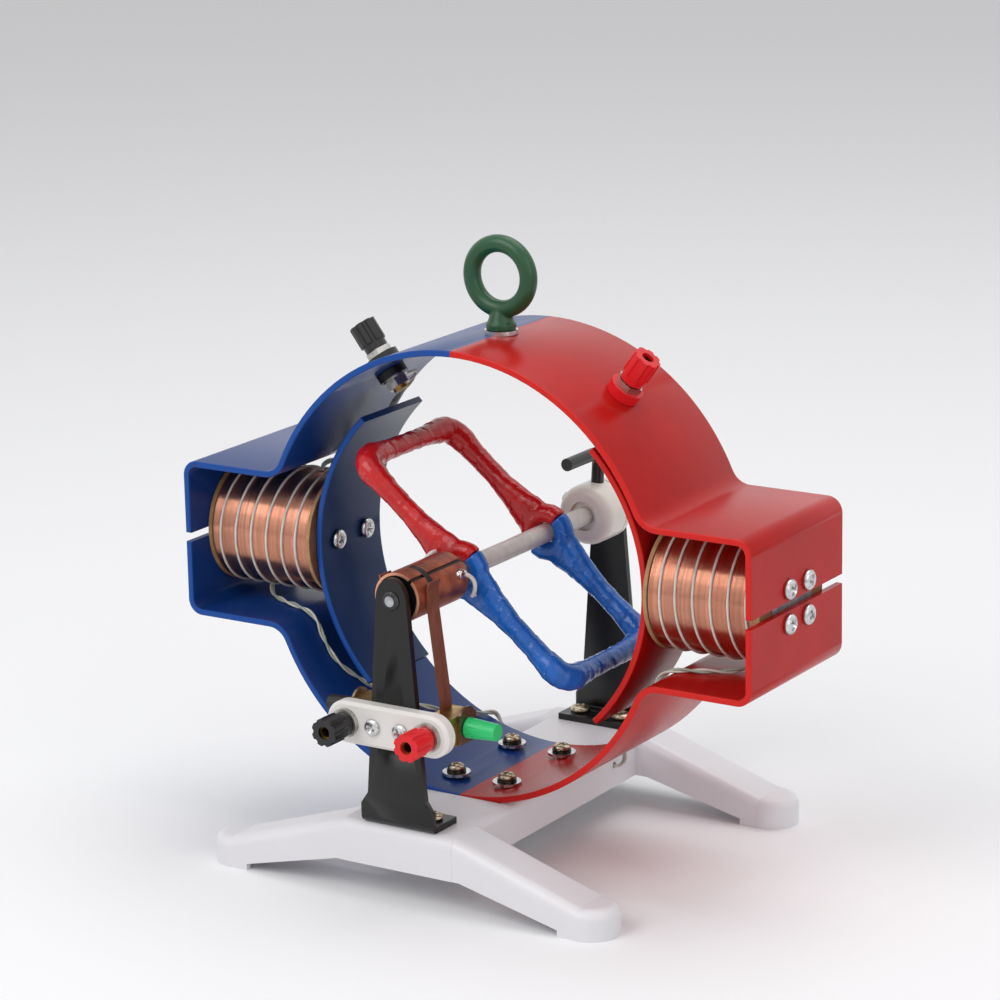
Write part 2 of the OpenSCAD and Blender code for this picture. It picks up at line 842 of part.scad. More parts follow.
// The knob's rear face is at z = 0; the plug goes in from the front.
module post_knob() {
    groove_r = 1.1;
    difference() {
        union() {
            cylinder(d = knob_d * 0.86, h = knob_len);
            translate([0, 0, knob_len * 0.25])
                cylinder(d = knob_d, h = knob_len * 0.75);
        }
        translate([0, 0, -past])
            cylinder(r = knob_bore_r, h = stud_front + past + 0.3);
        cylinder(d = socket_d + 0.8, h = knob_len + past);
        for (i = [0:7])
            rotate(45 * i)
                translate([knob_d / 2 + groove_r * 0.35, 0, knob_len * 0.25 - past])
                    cylinder(r = groove_r, h = knob_len);
    }
}

module black_field_knob()
    color(black_plastic)
        on_ring(-post_angle)
            translate([0, 0, field_knob_z])
                post_knob();

module red_field_knob()
    color(pole_red)
        on_ring(post_angle)
            translate([0, 0, field_knob_z])
                post_knob();

// ---- Brackets and bearings ----

foot_bend_r = 3;
shoulder_z = base_h + 7.5;
shoulder_top_z = base_h + 12;
bush_d = 7.2;

// Side view of the room above the foot and in front of the upright, with its bend, shrunk by inset.
module bracket_room(inset) {
    reach = bracket_foot_len + inset;
    left = bracket_y - bracket_foot_len - inset;
    top = shaft_z + bracket_top_r + inset;
    translate([left, base_h + foot_bend_r])
        square([reach - inset, top - base_h - foot_bend_r]);
    translate([left, base_h + inset])
        square([reach - foot_bend_r, top - base_h - inset]);
    translate([bracket_y - foot_bend_r, base_h + foot_bend_r])
        circle(foot_bend_r - inset);
}

// The rear bracket; the front one is its mirror image.
module bracket() {
    t = bracket_t;
    taper = atan2(bracket_w / 2 - bracket_top_r, shaft_z - shoulder_top_z);
    top_x = bracket_top_r * cos(taper) - seat / 2;
    top_z = shaft_z + bracket_top_r * sin(taper);
    difference() {
        intersection() {
            translate([0, yoke_y, 0])
                along_x(-bracket_foot_w / 2, bracket_foot_w / 2)
                    difference() {
                        bracket_room(0);
                        bracket_room(t);
                    }
            union() {
                along_y(0, bracket_y + past)
                    polygon([[-bracket_foot_w / 2, base_h - past], [-bracket_foot_w / 2, shoulder_z],
                             [-bracket_w / 2, shoulder_top_z], [-top_x, top_z], [top_x, top_z],
                             [bracket_w / 2, shoulder_top_z], [bracket_foot_w / 2, shoulder_z],
                             [bracket_foot_w / 2, base_h - past]]);
                on_shaft(0)
                    cylinder(r = bracket_top_r, h = bracket_y + past);
            }
        }
        translate([0, yoke_y, shaft_z])
            rotate([-90, 0, 0])
                cylinder(d = bush_d + 2 * seat, h = bracket_y + past);
        bracket_screw_places()
            cylinder(d = screw_d + 2 * hole_gap, h = base_h + 2 * t);
    }
}

plate_screw_x = 6;

module front_bracket()
    color(black_paint)
        difference() {
            translate([0, 2 * yoke_y, 0])
                mirror([0, 1, 0])
                    bracket();
            for (x = [-plate_screw_x, plate_screw_x])
                on_plate(x)
                    translate([0, 0, -plate_t - 2 * bracket_t])
                        cylinder(d = screw_d - 1 + 2 * running, h = 3 * bracket_t);
        }

module rear_bracket()
    color(black_paint)
        bracket();

bracket_thread_len = 9;

module bracket_screws()
    color(steel)
        bracket_screw_places()
            translate([0, 0, base_h + bracket_t + seat])
                pan_screw(screw_d, head_d, head_h, bracket_t + bracket_thread_len);

module bearing()
    rotate_extrude()
        polygon([[journal_d / 2 + running, -bracket_t], [bush_d / 2, -bracket_t], [bush_d / 2, 0.3],
                 [bush_d / 2 - 0.5, 0.8], [journal_d / 2 + running, 0.8]]);

module front_bearing()
    color(steel)
        on_shaft(-bracket_y)
            mirror([0, 0, 1])
                bearing();

module rear_bearing()
    color(steel)
        on_shaft(bracket_y)
            bearing();

// ---- Terminal plate with the armature's binding posts ----

plate_edge = 1.2;

module plate_body() {
    r = plate_h / 2;
    x = plate_w / 2 - r;
    for (side = [-x, x])
        translate([side, 0, 0]) {
            cylinder(r = r, h = plate_t - plate_edge);
            translate([0, 0, plate_t - plate_edge])
                cylinder(r1 = r, r2 = r - plate_edge, h = plate_edge);
        }
    rotate([90, 0, 90])
        translate([0, 0, -x])
            linear_extrude(2 * x)
                polygon([[-r, 0], [-r, plate_t - plate_edge], [-r + plate_edge, plate_t],
                         [r - plate_edge, plate_t], [r, plate_t - plate_edge], [r, 0]]);
}

module terminal_plate()
    color(moulded_white)
        difference() {
            on_plate(0)
                translate([0, 0, -plate_t])
                    plate_body();
            for (x = [-plate_screw_x, plate_screw_x])
                on_plate(x)
                    translate([0, 0, -2 * plate_t])
                        cylinder(d = screw_d - 1 + 2 * hole_gap, h = 3 * plate_t);
            for (x = [-post_x, post_x])
                on_plate(x)
                    translate([0, 0, -2 * plate_t])
                        cylinder(d = stud_d + 2 * seat, h = 3 * plate_t);
        }

module plate_screws()
    color(steel)
        for (x = [-plate_screw_x, plate_screw_x])
            on_plate(x)
                translate([0, 0, seat])
                    pan_screw(screw_d - 1, head_d - 1.4, head_h - 0.8, plate_t + bracket_t + 1);

stud_tail = plate_t + 5;

module armature_studs()
    color(brass)
        for (x = [-post_x, post_x])
            on_plate(x)
                stud(-stud_tail, stud_washer_t + knob_gap + stud_front);

module stud_washers()
    color(steel)
        for (x = [-post_x, post_x])
            on_plate(x)
                translate([0, 0, seat])
                    tube(knob_d + 0.6, stud_d + 2 * running, stud_washer_t - seat);

module armature_knob(x)
    on_plate(x)
        translate([0, 0, stud_washer_t + knob_gap])
            post_knob();

module black_armature_knob()
    color(black_plastic)
        armature_knob(-post_x);

module red_armature_knob()
    color(pole_red)
        armature_knob(post_x);

// ---- Brushes ----

block_inner = post_x - block_w / 2;
slot_x = block_inner + 1.2;
strip_x = slot_x + seat + brush_t / 2;

// Everything of the right brush; the left one is its mirror image.
module at_brush(side)
    mirror([side < 0 ? 1 : 0, 0, 0])
        children();

module brush_block(side)
    color(brass)
        at_brush(side)
            difference() {
                translate([block_inner, yoke_y - bracket_y + seat, block_z - block_h / 2])
                    cube([block_w, block_len, block_h]);
                on_plate(post_x)
                    translate([0, 0, -stud_tail - 0.3])
                        cylinder(d = stud_d + 2 * seat, h = 2 * stud_tail);
                translate([slot_x, yoke_y - brush_y - brush_w / 2 - seat, block_z - block_h / 2 + 1.5])
                    cube([brush_t + 2 * seat, brush_w + 2 * seat, block_h]);
                translate([slot_x, yoke_y - brush_y, block_z])
                    rotate([0, 90, 0])
                        cylinder(d = thumb_screw_d + 2 * running, h = block_w);
            }

module left_brush_block() brush_block(-1);
module right_brush_block() brush_block(1);

module brush(side)
    color(copper)
        at_brush(side) {
            low = block_z - block_h / 2 + 1.6;
            bend = block_z + block_h / 2 + 3;
            touch_x = commutator_d / 2 + brush_gap + brush_t / 2;
            line = [[strip_x, low], [strip_x, bend], [touch_x, shaft_z - 4], [touch_x, shaft_z + 3],
                    [touch_x + 0.8, shaft_z + 6]];
            along_y(-brush_y - brush_w / 2, -brush_y + brush_w / 2)
                polygon(concat([for (p = line) p - [brush_t / 2, 0]],
                               [for (i = [len(line) - 1:-1:0]) line[i] + [brush_t / 2, 0]]));
        }

module left_brush() brush(-1);
module right_brush() brush(1);

clamp_x = block_inner + block_w + seat;

module clamp_plates()
    color(steel)
        for (side = [-1, 1])
            at_brush(side)
                difference() {
                    translate([0, yoke_y - brush_y, 0])
                        along_x(clamp_x, clamp_x + clamp_t) {
                            translate([-block_h / 2, block_z - block_h / 2])
                                square([block_h, block_h]);
                            translate([0, block_z + block_h / 2 - 3])
                                circle(block_h / 2);
                        }
                    translate([clamp_x - past, yoke_y - brush_y, block_z])
                        rotate([0, 90, 0])
                            cylinder(d = thumb_screw_d + 2 * running, h = 4);
                }

module thumb_screw(side)
    at_brush(side)
        translate([clamp_x + clamp_t + 0.3, yoke_y - brush_y, block_z])
            rotate([0, 90, 0])
                difference() {
                    union() {
                        cylinder(d1 = thumb_d, d2 = thumb_d * 0.8, h = thumb_len);
                        translate([0, 0, -clamp_t - 0.3 - seat - block_w + 1.2 + brush_t + 3 * seat])
                            cylinder(d = thumb_screw_d, h = block_w);
                    }
                    for (i = [0:9])
                        rotate(36 * i)
                            translate([thumb_d / 2 + 0.25, 0, 1.5])
                                cylinder(r = 0.7, h = thumb_len);
                }

module black_thumb_screw()
    color(black_plastic)
        thumb_screw(-1);

module green_thumb_screw()
    color("#2fc070")
        thumb_screw(1);

// ---- Rotor ----

module shaft()
    color(steel)
        on_shaft(0) {
            translate([0, 0, -bracket_y - 1])
                cylinder(d = journal_d, h = 2 * bracket_y + 2);
            translate([0, 0, -shoulder_y])
                cylinder(d = shaft_d, h = 2 * shoulder_y);
        }

hub_recess = 2;

module shaft_sleeve()
    color("#d9d7d2")
        on_shaft(-commutator_rear + seat)
            tube(sleeve_d, shaft_d + 2 * seat, commutator_rear + hub_front + hub_recess - 3 * seat);

slot_angle = loop_angle - 90;

module commutator_core()
    color("#141414")
        difference() {
            union() {
                along_y(-commutator_front + 0.6, -commutator_rear)
                    translate([0, shaft_z])
                        circle(core_r - seat);
                along_y(-commutator_front + 0.6, -commutator_rear)
                    translate([0, shaft_z])
                        rotate(slot_angle)
                            square([2 * (commutator_d / 2 - band_depth - 2 * seat), slot_w - 2 * seat],
                                   center = true);
            }
            on_shaft(-commutator_front - past)
                cylinder(d = shaft_d + 2 * seat, h = commutator_front);
        }

module segment(angle)
    color(copper)
        difference() {
            along_y(-commutator_front, -commutator_rear)
                translate([0, shaft_z])
                    rotate(angle)
                        intersection() {
                            difference() {
                                circle(commutator_d / 2);
                                circle(core_r);
                            }
                            translate([slot_w / 2, -commutator_d])
                                square(2 * commutator_d);
                        }
            on_shaft(band_y - band_w / 2)
                tube(commutator_d + past, commutator_d - 2 * band_depth, band_w);
        }

module upper_segment() segment(loop_angle);
module lower_segment() segment(loop_angle + 180);

module commutator_band()
    color("#141414")
        on_shaft(band_y - band_w / 2 + seat)
            tube(commutator_d - 0.1, commutator_d - 2 * band_depth + 2 * seat, band_w - 2 * seat);

// Stations of the taped bundle on one half of the loop: distance from the shaft, place along Y, diameter.
corner = 7;
corner_steps = 4;
front_stations = concat(
    [[eye_line_r, -loop_y, bundle_d + 1], [loop_r / 2, -loop_y, bundle_d]],
    [for (i = [0:corner_steps]) let (a = -90 + 90 * i / corner_steps)
     [loop_r - corner + corner * cos(a), -loop_y + corner + corner * sin(a), bundle_corner_d]]);
stations = concat(front_stations, [[loop_r, 0, bundle_d - 0.6]],
                  [for (i = [len(front_stations) - 1:-1:0]) let (s = front_stations[i]) [s[0], -s[1], s[2]]]);
bundle_line = [for (s = stations) [s[0], s[1], 0]];
bundle_ups = [for (s = stations) [0, 0, 1]];
bundle_radii = [for (s = stations) s[2] / 2];

// Local X runs out from the shaft, in the plane of the loop.
module loop_half() {
    sweep(bundle_line, bundle_ups, bundle_radii, 12);
    for (y = [-loop_y, loop_y])
        translate([0, y, 0])
            rotate([90, 0, 0])
                rotate(-89.5)
                    rotate_extrude(angle = 179)
                        translate([eye_line_r, 0])
                            circle(eye_bar_r);
}

module on_loop(angle)
    translate([0, yoke_y, shaft_z])
        rotate([0, -angle, 0])
            children();

module armature_red_half()
    color(pole_red)
        on_loop(loop_angle)
            loop_half();

module armature_blue_half()
    color("#1f5fb4")
        on_loop(loop_angle + 180)
            loop_half();

// One lead from a commutator segment to the loop: radius, place along Y, angle past the loop's half.
rotor_lead_d = 1.6;
rotor_lead = [[10.4, -44.5, 60], [11, -42, 52], [11.4, -40.2, 42], [11.6, -39, 30], [11.6, -38.2, 18],
              [11.4, -37.6, 8], [11.2, -37, 2], [11.1, -36.2, 0], [11.1, -34.8, 0]];
function around(p) = [p[0] * cos(p[2]), p[1], p[0] * sin(p[2])];
rotor_lead_points = [for (p = rotor_lead) around(p)];
rotor_lead_ups = [for (p = rotor_lead_points) [p[0], 0, p[2]]];
solder_bead = [9.8, -44.5, 60];
solder_d = 3.6;

module armature_leads()
    color(cord_white)
        for (half = [0, 180])
            on_loop(loop_angle + half) {
                sweep(rotor_lead_points, rotor_lead_ups, rotor_lead_d / 2, 6);
                difference() {
                    translate(around(solder_bead))
                        sphere(d = solder_d);
                    rotate([90, 0, 0])
                        cylinder(r = commutator_d / 2 + seat, h = 4 * commutator_front, center = true);
                }
            }

crank_angle = 86;
crank_bend_r = 5;
hub_screw_angle = 160;

module from_shaft(y, angle)
    translate([0, yoke_y + y, shaft_z])
        rotate([0, 90 - angle, 0])
            children();

module hub()
    color("#f0efe9")
        difference() {
            on_shaft(hub_front)
                rotate_extrude()
                    difference() {
                        union() {
                            translate([0, 4])
                                square([hub_d / 2, hub_len - 4]);
                            square([hub_d / 2 - 4, hub_len]);
                            translate([hub_d / 2 - 4, 4])
                                circle(4);
                        }
                        translate([-past, -past])
                            square([shaft_d / 2 + seat + past, hub_len + 2 * past]);
                        square([sleeve_d / 2 + 2.2, hub_recess]);
                        translate([hub_d / 2 - 0.5, hub_len - 3.4])
                            square([past, 0.8]);
                    }
            from_shaft(crank_y, crank_angle)
                translate([0, 0, hub_d / 2 - 4.6])
                    cylinder(d = crank_d + 2 * seat, h = hub_d);
            from_shaft(hub_front + hub_len / 2, hub_screw_angle)
                cylinder(d = 3 + 2 * seat, h = hub_d);
        }

module hub_screw()
    color(steel)
        from_shaft(hub_front + hub_len / 2, hub_screw_angle)
            translate([0, 0, hub_d / 2 + seat])
                pan_screw(3, 5.4, 2, hub_d / 2 - shaft_d / 2 - 2 * seat);

module crank_handle()
    color(black_plastic)
        from_shaft(crank_y, crank_angle) {
            translate([0, 0, hub_d / 2 - 4.5])
                cylinder(d = crank_d, h = crank_r - crank_bend_r - hub_d / 2 + 4.5);
            translate([0, -crank_bend_r, crank_r - crank_bend_r])
                rotate([90, 0, 90])
                    rotate_extrude(angle = 90)
                        translate([crank_bend_r, 0])
                            circle(d = crank_d);
            translate([0, -crank_bend_r, crank_r])
                rotate([90, 0, 0])
                    cylinder(d = crank_d, h = crank_len - crank_bend_r);
        }

// ---- Leads of the field ----

module lead(points)
    translate([0, yoke_y, yoke_z])
        sweep(points, [for (p = points) [p[0], 0, p[2]]], lead_d / 2, 8);

module field_leads()
    color(cord_white) {
        lead(link_lead);
        for (side = [0, 1])
            mirror([side, 0, 0])
                lead(post_lead);
    }

// ---- The pieces ----

base();
upper_yoke();
lower_yoke();
left_core();
right_core();
left_spool();
right_spool();
left_winding();
right_winding();
left_binding_cord();
right_binding_cord();
left_pole_shoe();
right_pole_shoe();
wall_screws();
pole_screws();
base_bolts();
base_washers();
base_nuts();
eye_bolt();
eye_washer();
eye_nut();
black_field_bush();
red_field_bush();
field_studs();
field_nuts();
field_lugs();
black_field_knob();
red_field_knob();
front_bracket();
rear_bracket();
bracket_screws();
front_bearing();
rear_bearing();
terminal_plate();
plate_screws();
armature_studs();
stud_washers();
black_armature_knob();
red_armature_knob();
left_brush_block();
right_brush_block();
left_brush();
right_brush();
clamp_plates();
black_thumb_screw();
green_thumb_screw();
shaft();
shaft_sleeve();
commutator_core();
upper_segment();
lower_segment();
commutator_band();
armature_red_half();
armature_blue_half();
armature_leads();
hub();
hub_screw();
crank_handle();
field_leads();
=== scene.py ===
"""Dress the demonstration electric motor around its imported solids.

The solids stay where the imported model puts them. Some get a better finish. The soft, wound, taped and painted
forms and the small repeated ones are made again in finer detail in the same places. Lengths in the classes
are millimetres, apart from places measured on the solids and those of the lamps, which are metres.
"""

import logging
import math
from dataclasses import dataclass
from enum import Enum
from functools import lru_cache
from typing import Sequence

import bmesh
import bpy
import numpy as np
from mathutils import Matrix, Vector, noise


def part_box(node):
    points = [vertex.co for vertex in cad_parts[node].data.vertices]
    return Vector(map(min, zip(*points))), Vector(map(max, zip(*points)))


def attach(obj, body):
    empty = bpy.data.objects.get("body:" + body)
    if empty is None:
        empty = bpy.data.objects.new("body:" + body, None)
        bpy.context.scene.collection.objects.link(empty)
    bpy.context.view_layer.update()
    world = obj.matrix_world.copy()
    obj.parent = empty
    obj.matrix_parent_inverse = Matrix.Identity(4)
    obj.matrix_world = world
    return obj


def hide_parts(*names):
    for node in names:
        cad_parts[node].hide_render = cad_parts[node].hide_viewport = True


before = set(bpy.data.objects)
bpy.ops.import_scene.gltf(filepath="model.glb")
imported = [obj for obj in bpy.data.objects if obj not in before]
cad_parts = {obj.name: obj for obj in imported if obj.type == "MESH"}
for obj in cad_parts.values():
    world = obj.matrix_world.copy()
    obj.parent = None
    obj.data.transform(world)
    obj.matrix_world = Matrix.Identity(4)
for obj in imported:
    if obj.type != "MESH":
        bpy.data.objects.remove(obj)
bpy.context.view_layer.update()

LOG = logging.getLogger("motor")
MM = 0.001
SAME_POINT = 1e-6
MIX_A, MIX_B, MIX_COLOUR = 6, 7, 2
Point = tuple[float, float, float]
Socket = bpy.types.NodeSocket


class Body(Enum):
    """The bodies that the new pieces ride on."""

    FRAME = "frame"
    ROTOR = "rotor"


class Aim(Enum):
    """Where a fastener's head points."""

    UP = "up"
    FRONT = "front"
    OUTWARDS = "outwards"
    INWARDS = "inwards"

    def direction(self, x: float) -> Vector:
        """Give the head's direction for a fastener whose middle is at x."""
        side = 1.0 if x > 0 else -1.0
        return {
            Aim.UP: Vector((0, 0, 1)),
            Aim.FRONT: Vector((0, -1, 0)),
            Aim.OUTWARDS: Vector((side, 0, 0)),
            Aim.INWARDS: Vector((-side, 0, 0)),
        }[self]


# ---- Nodes and colours ----


def linear(code: str) -> tuple[float, float, float, float]:
    """Turn an sRGB hex code into a linear colour.

    Args:
        code: The colour, such as "#c8201e".

    Returns:
        Red, green, blue and an alpha of 1.
    """
    parts = [int(code[i:i + 2], 16) / 255 for i in (1, 3, 5)]
    red, green, blue = (c / 12.92 if c <= 0.04045 else ((c + 0.055) / 1.055) ** 2.4 for c in parts)
    return red, green, blue, 1.0


def grain(mm: float) -> float:
    """Give the noise scale whose features are this many millimetres across."""
    return 1 / (mm * MM)


class Tree:
    """A node tree in the making."""

    def __init__(self, tree: bpy.types.NodeTree) -> None:
        """Take a tree and empty it."""
        tree.nodes.clear()
        self.tree = tree

    def add(self, kind: str, inputs: dict | None = None, **settings: object) -> bpy.types.Node:
        """Add one node with its settings, values and links.

        Args:
            kind: The node's type.
            inputs: Input name or number to a value, or to the socket that feeds it.
            **settings: The node's own properties.

        Returns:
            The new node.
        """
        node = self.tree.nodes.new(kind)
        for name, value in settings.items():
            setattr(node, name, value)
        for key, value in (inputs or {}).items():
            if isinstance(value, Socket):
                self.tree.links.new(value, node.inputs[key])
            else:
                node.inputs[key].default_value = value
        return node

    def put(self, kind: str, inputs: dict | None = None, **settings: object) -> Socket:
        """Add one node in the same way, and give its first output."""
        return self.add(kind, inputs, **settings).outputs[0]

    def maths(self, operation: str, *values: object) -> Socket:
        """Work out one sum from numbers and sockets."""
        return self.put("ShaderNodeMath", dict(enumerate(values)), operation=operation)

    def ramp(self, value: Socket, low: float, high: float, to_low: float = 0.0,
             to_high: float = 1.0) -> Socket:
        """Stretch a value from one range to another, held at both ends."""
        return self.put("ShaderNodeMapRange", {"Value": value, "From Min": low, "From Max": high,
                                               "To Min": to_low, "To Max": to_high})


# ---- Finishes ----


class Surface(Tree):
    """A material in the making: its nodes, its shader and the object's own coordinates in metres."""

    def __init__(self, name: str) -> None:
        """Start a material with one principled shader."""
        self.material = bpy.data.materials.new(name)
        self.material.use_nodes = True
        super().__init__(self.material.node_tree)
        self.shader = self.add("ShaderNodeBsdfPrincipled")
        self.add("ShaderNodeOutputMaterial", {"Surface": self.shader.outputs[0]})
        self.place = self.add("ShaderNodeTexCoord").outputs["Object"]

    def axes(self) -> Sequence[Socket]:
        """Give the places along X, Y and Z."""
        return self.add("ShaderNodeSeparateXYZ", {0: self.place}).outputs

    def noted(self, name: str) -> Socket:
        """Give the value of an attribute that the mesh carries."""
        return self.add("ShaderNodeAttribute", attribute_name=name).outputs["Fac"]

    def noise(self, mm: float, detail: float = 2.0, roughness: float = 0.5, distortion: float = 0.0,
              place: Socket | None = None) -> Socket:
        """Give a noise with features of a size.

        Args:
            mm: Size of the features.
            detail: Finer layers that are added.
            roughness: Share of each finer layer.
            distortion: How far the noise is warped.
            place: Where it is read, if not at the object's own coordinates.

        Returns:
            The noise, 0 to 1.
        """
        place = self.place if place is None else place
        return self.put("ShaderNodeTexNoise", {"Vector": place, "Scale": grain(mm), "Detail": detail,
                                               "Roughness": roughness, "Distortion": distortion})

    def lines(self, along: Socket, mm: float) -> Socket:
        """Give a noise that changes along one direction only."""
        return self.put("ShaderNodeTexNoise", {"W": along, "Scale": grain(mm), "Detail": 4.0},
                        noise_dimensions="1D")

    def blend(self, share: Socket, one: str | Socket, two: str | Socket) -> Socket:
        """Mix two colours, each a hex code or a socket."""
        one, two = (linear(colour) if isinstance(colour, str) else colour for colour in (one, two))
        return self.add("ShaderNodeMix", {0: share, MIX_A: one, MIX_B: two},
                        data_type="RGBA").outputs[MIX_COLOUR]

    def mottled(self, colour: str | Socket, mm: float, low: float, high: float) -> Socket:
        """Vary a colour's brightness in soft patches.

        Args:
            colour: A hex code, or the socket that gives the colour.
            mm: Size of the patches.
            low: Least brightness.
            high: Greatest brightness.

        Returns:
            The varied colour.
        """
        value = self.ramp(self.noise(mm, 3.0), 0.3, 0.7, low, high)
        colour = linear(colour) if isinstance(colour, str) else colour
        return self.put("ShaderNodeHueSaturation", {"Value": value, "Color": colour})

    def relief(self, height: Socket, depth: float, strength: float) -> None:
        """Give the shader a bump of a depth in millimetres."""
        self.feed(Normal=self.put("ShaderNodeBump", {"Height": height, "Distance": depth * MM,
                                                     "Strength": strength}))

    def feed(self, **inputs: object) -> None:
        """Give the shader its values.

        Args:
            **inputs: A value or a socket for each input, with underscores for spaces in its name.
        """
        for label, value in inputs.items():
            socket = self.shader.inputs[label.replace("_", " ")]
            if isinstance(value, Socket):
                self.tree.links.new(value, socket)
            else:
                socket.default_value = value


@dataclass(frozen=True)
class Finish:
    """A surface finish, named for what the real one is."""

    name: str

    def material(self) -> bpy.types.Material:
        """Give the finish's material, made once."""
        return made_material(self)

    def dress(self, surface: Surface) -> None:
        """Add this finish's nodes to a surface."""
        raise NotImplementedError


@lru_cache(maxsize=None)
def made_material(finish: Finish) -> bpy.types.Material:
    """Make a finish's material.

    Args:
        finish: The finish.

    Returns:
        The material.
    """
    surface = Surface(finish.name)
    finish.dress(surface)
    return surface.material


@dataclass(frozen=True)
class StovePaint(Finish):
    """Stoved gloss paint on sheet steel: a faint orange peel, small chips along the cut edges, and a painted
    highlight along them.
    """

    left: str
    right: str
    # The two edge colours are a painted highlight along the cut edges.
    left_edge_highlight: str
    right_edge_highlight: str
    middle: float = 0.0
    half_width: float = 35.0
    chips: float = 0.66
    roughness: float = 0.26
    shine: float = 0.16
    bare: str = "#4c3a3c"
    bare_roughness: float = 0.55
    seam_wander: float = 0.8
    edge_chips: float = 0.16

    @classmethod
    def plain(cls, name: str, colour: str, bare: str) -> "StovePaint":
        """Give a paint of one colour, for a form without a strip's cut edges."""
        return cls(name, colour, colour, colour, colour, half_width=5000, chips=0.7, roughness=0.3, shine=0.4,
                   bare=bare)

    def dress(self, surface: Surface) -> None:
        """Add the paint's two colours, a painted highlight along the cut edges, its peel and its chips."""
        x, y, _ = surface.axes()
        seam = surface.maths("MULTIPLY_ADD", surface.noise(4), self.seam_wander * MM, x)
        side = surface.maths("GREATER_THAN", seam, self.seam_wander / 2 * MM)
        face = surface.mottled(surface.blend(side, self.left, self.right), 34, 0.88, 1.08)
        reach = surface.maths("ABSOLUTE", surface.maths("SUBTRACT", y, self.middle))
        rim = surface.ramp(reach, (self.half_width - 0.9) * MM, (self.half_width - 0.1) * MM)
        # Painted highlight: the edge colours along the rims, where the rounded cut edges catch the light.
        shade = surface.blend(rim, face, surface.blend(side, self.left_edge_highlight, self.right_edge_highlight))
        edge = surface.maths("MULTIPLY_ADD", rim, self.edge_chips, surface.noise(2.6, 5.0, 0.66, 0.6))
        threshold = self.chips + self.edge_chips
        chip = surface.ramp(edge, threshold, threshold + 0.015)
        surface.relief(surface.maths("MULTIPLY_ADD", chip, -2.0, surface.noise(1.3)), 0.05, 0.25)
        surface.feed(Base_Color=surface.blend(chip, shade, self.bare), Specular_IOR_Level=self.shine,
                     Roughness=surface.ramp(chip, 0.0, 1.0, self.roughness, self.bare_roughness))


@dataclass(frozen=True)
class Moulded(Finish):
    """Moulded thermoplastic: an even colour with a fine grain and soft flow patches."""

    colour: str
    roughness: float = 0.38
    grain_mm: float = 0.7
    depth: float = 0.03
    patches: float = 0.04
    patch_mm: float = 30.0
    coat: float = 0.0
    shine: float = 0.5

    def dress(self, surface: Surface) -> None:
        """Add the colour's patches and the grain."""
        shade = surface.mottled(self.colour, self.patch_mm, 1 - self.patches, 1 + self.patches / 2)
        surface.relief(surface.noise(self.grain_mm, 3.0), self.depth, 0.3)
        surface.feed(Base_Color=shade, Roughness=self.roughness, Coat_Weight=self.coat,
                     Specular_IOR_Level=self.shine)


@dataclass(frozen=True)
class Metal(Finish):
    """Plated or bare metal: its colour drifts towards a tarnish, with fine handling marks."""

    colour: str
    tarnish: str
    roughness: float = 0.28
    patch_mm: float = 3.0
    stretch: Point = (1.0, 1.0, 1.0)

    def dress(self, surface: Surface) -> None:
        """Add the tarnish and the marks."""
        drawn = surface.put("ShaderNodeMapping", {"Vector": surface.place, "Scale": self.stretch})
        patch = surface.noise(self.patch_mm, 5.0, 0.6, place=drawn)
        surface.relief(surface.noise(0.5, 3.0, place=drawn), 0.02, 0.3)
        surface.feed(Base_Color=surface.blend(surface.ramp(patch, 0.38, 0.68), self.colour, self.tarnish),
                     Roughness=surface.ramp(patch, 0.3, 0.7, self.roughness * 0.8, self.roughness * 1.4),
                     Metallic=1.0)


@dataclass(frozen=True)
class ShellCopper(Finish):
    """Turned copper of the commutator: turning lines, brown tarnish and a purple heat stain by the solder."""

    front_y: float
    rear_y: float
    colour: str = "#b5674c"
    tarnish: str = "#85452f"
    stain: str = "#74495c"
    bright: str = "#e0a184"
    line_mm: float = 0.8
    stain_mm: float = 12.0
    rim_mm: float = 0.3

    def dress(self, surface: Surface) -> None:
        """Add the turning lines, the tarnish, the stain and the bright front rim."""
        y = surface.axes()[1]
        share = surface.ramp(surface.noise(7, 6.0, 0.65), 0.4, 0.68)
        colour = surface.blend(share, self.colour, self.tarnish)
        rear = surface.ramp(y, self.rear_y - self.stain_mm * MM, self.rear_y)
        heat = surface.blend(surface.maths("MULTIPLY", rear, share), colour, self.stain)
        rim = surface.maths("LESS_THAN", y, self.front_y + self.rim_mm * MM)
        lines = surface.lines(y, self.line_mm)
        surface.relief(lines, 0.03, 0.5)
        surface.feed(Base_Color=surface.blend(rim, heat, self.bright),
                     Roughness=surface.ramp(lines, 0.3, 0.7, 0.3, 0.5), Metallic=0.9)


@dataclass(frozen=True)
class EnamelledWire(Finish):
    """Enamelled copper wire: warm metal under a clear enamel, each turn a little different."""

    colour: str = "#e6ab92"
    deep: str = "#cf967c"

    def dress(self, surface: Surface) -> None:
        """Add the drift of colour from turn to turn and the enamel's gloss."""
        share = surface.ramp(surface.lines(surface.axes()[0], 1.8), 0.35, 0.65)
        surface.feed(Base_Color=surface.blend(share, self.colour, self.deep), Metallic=1.0, Roughness=0.2)


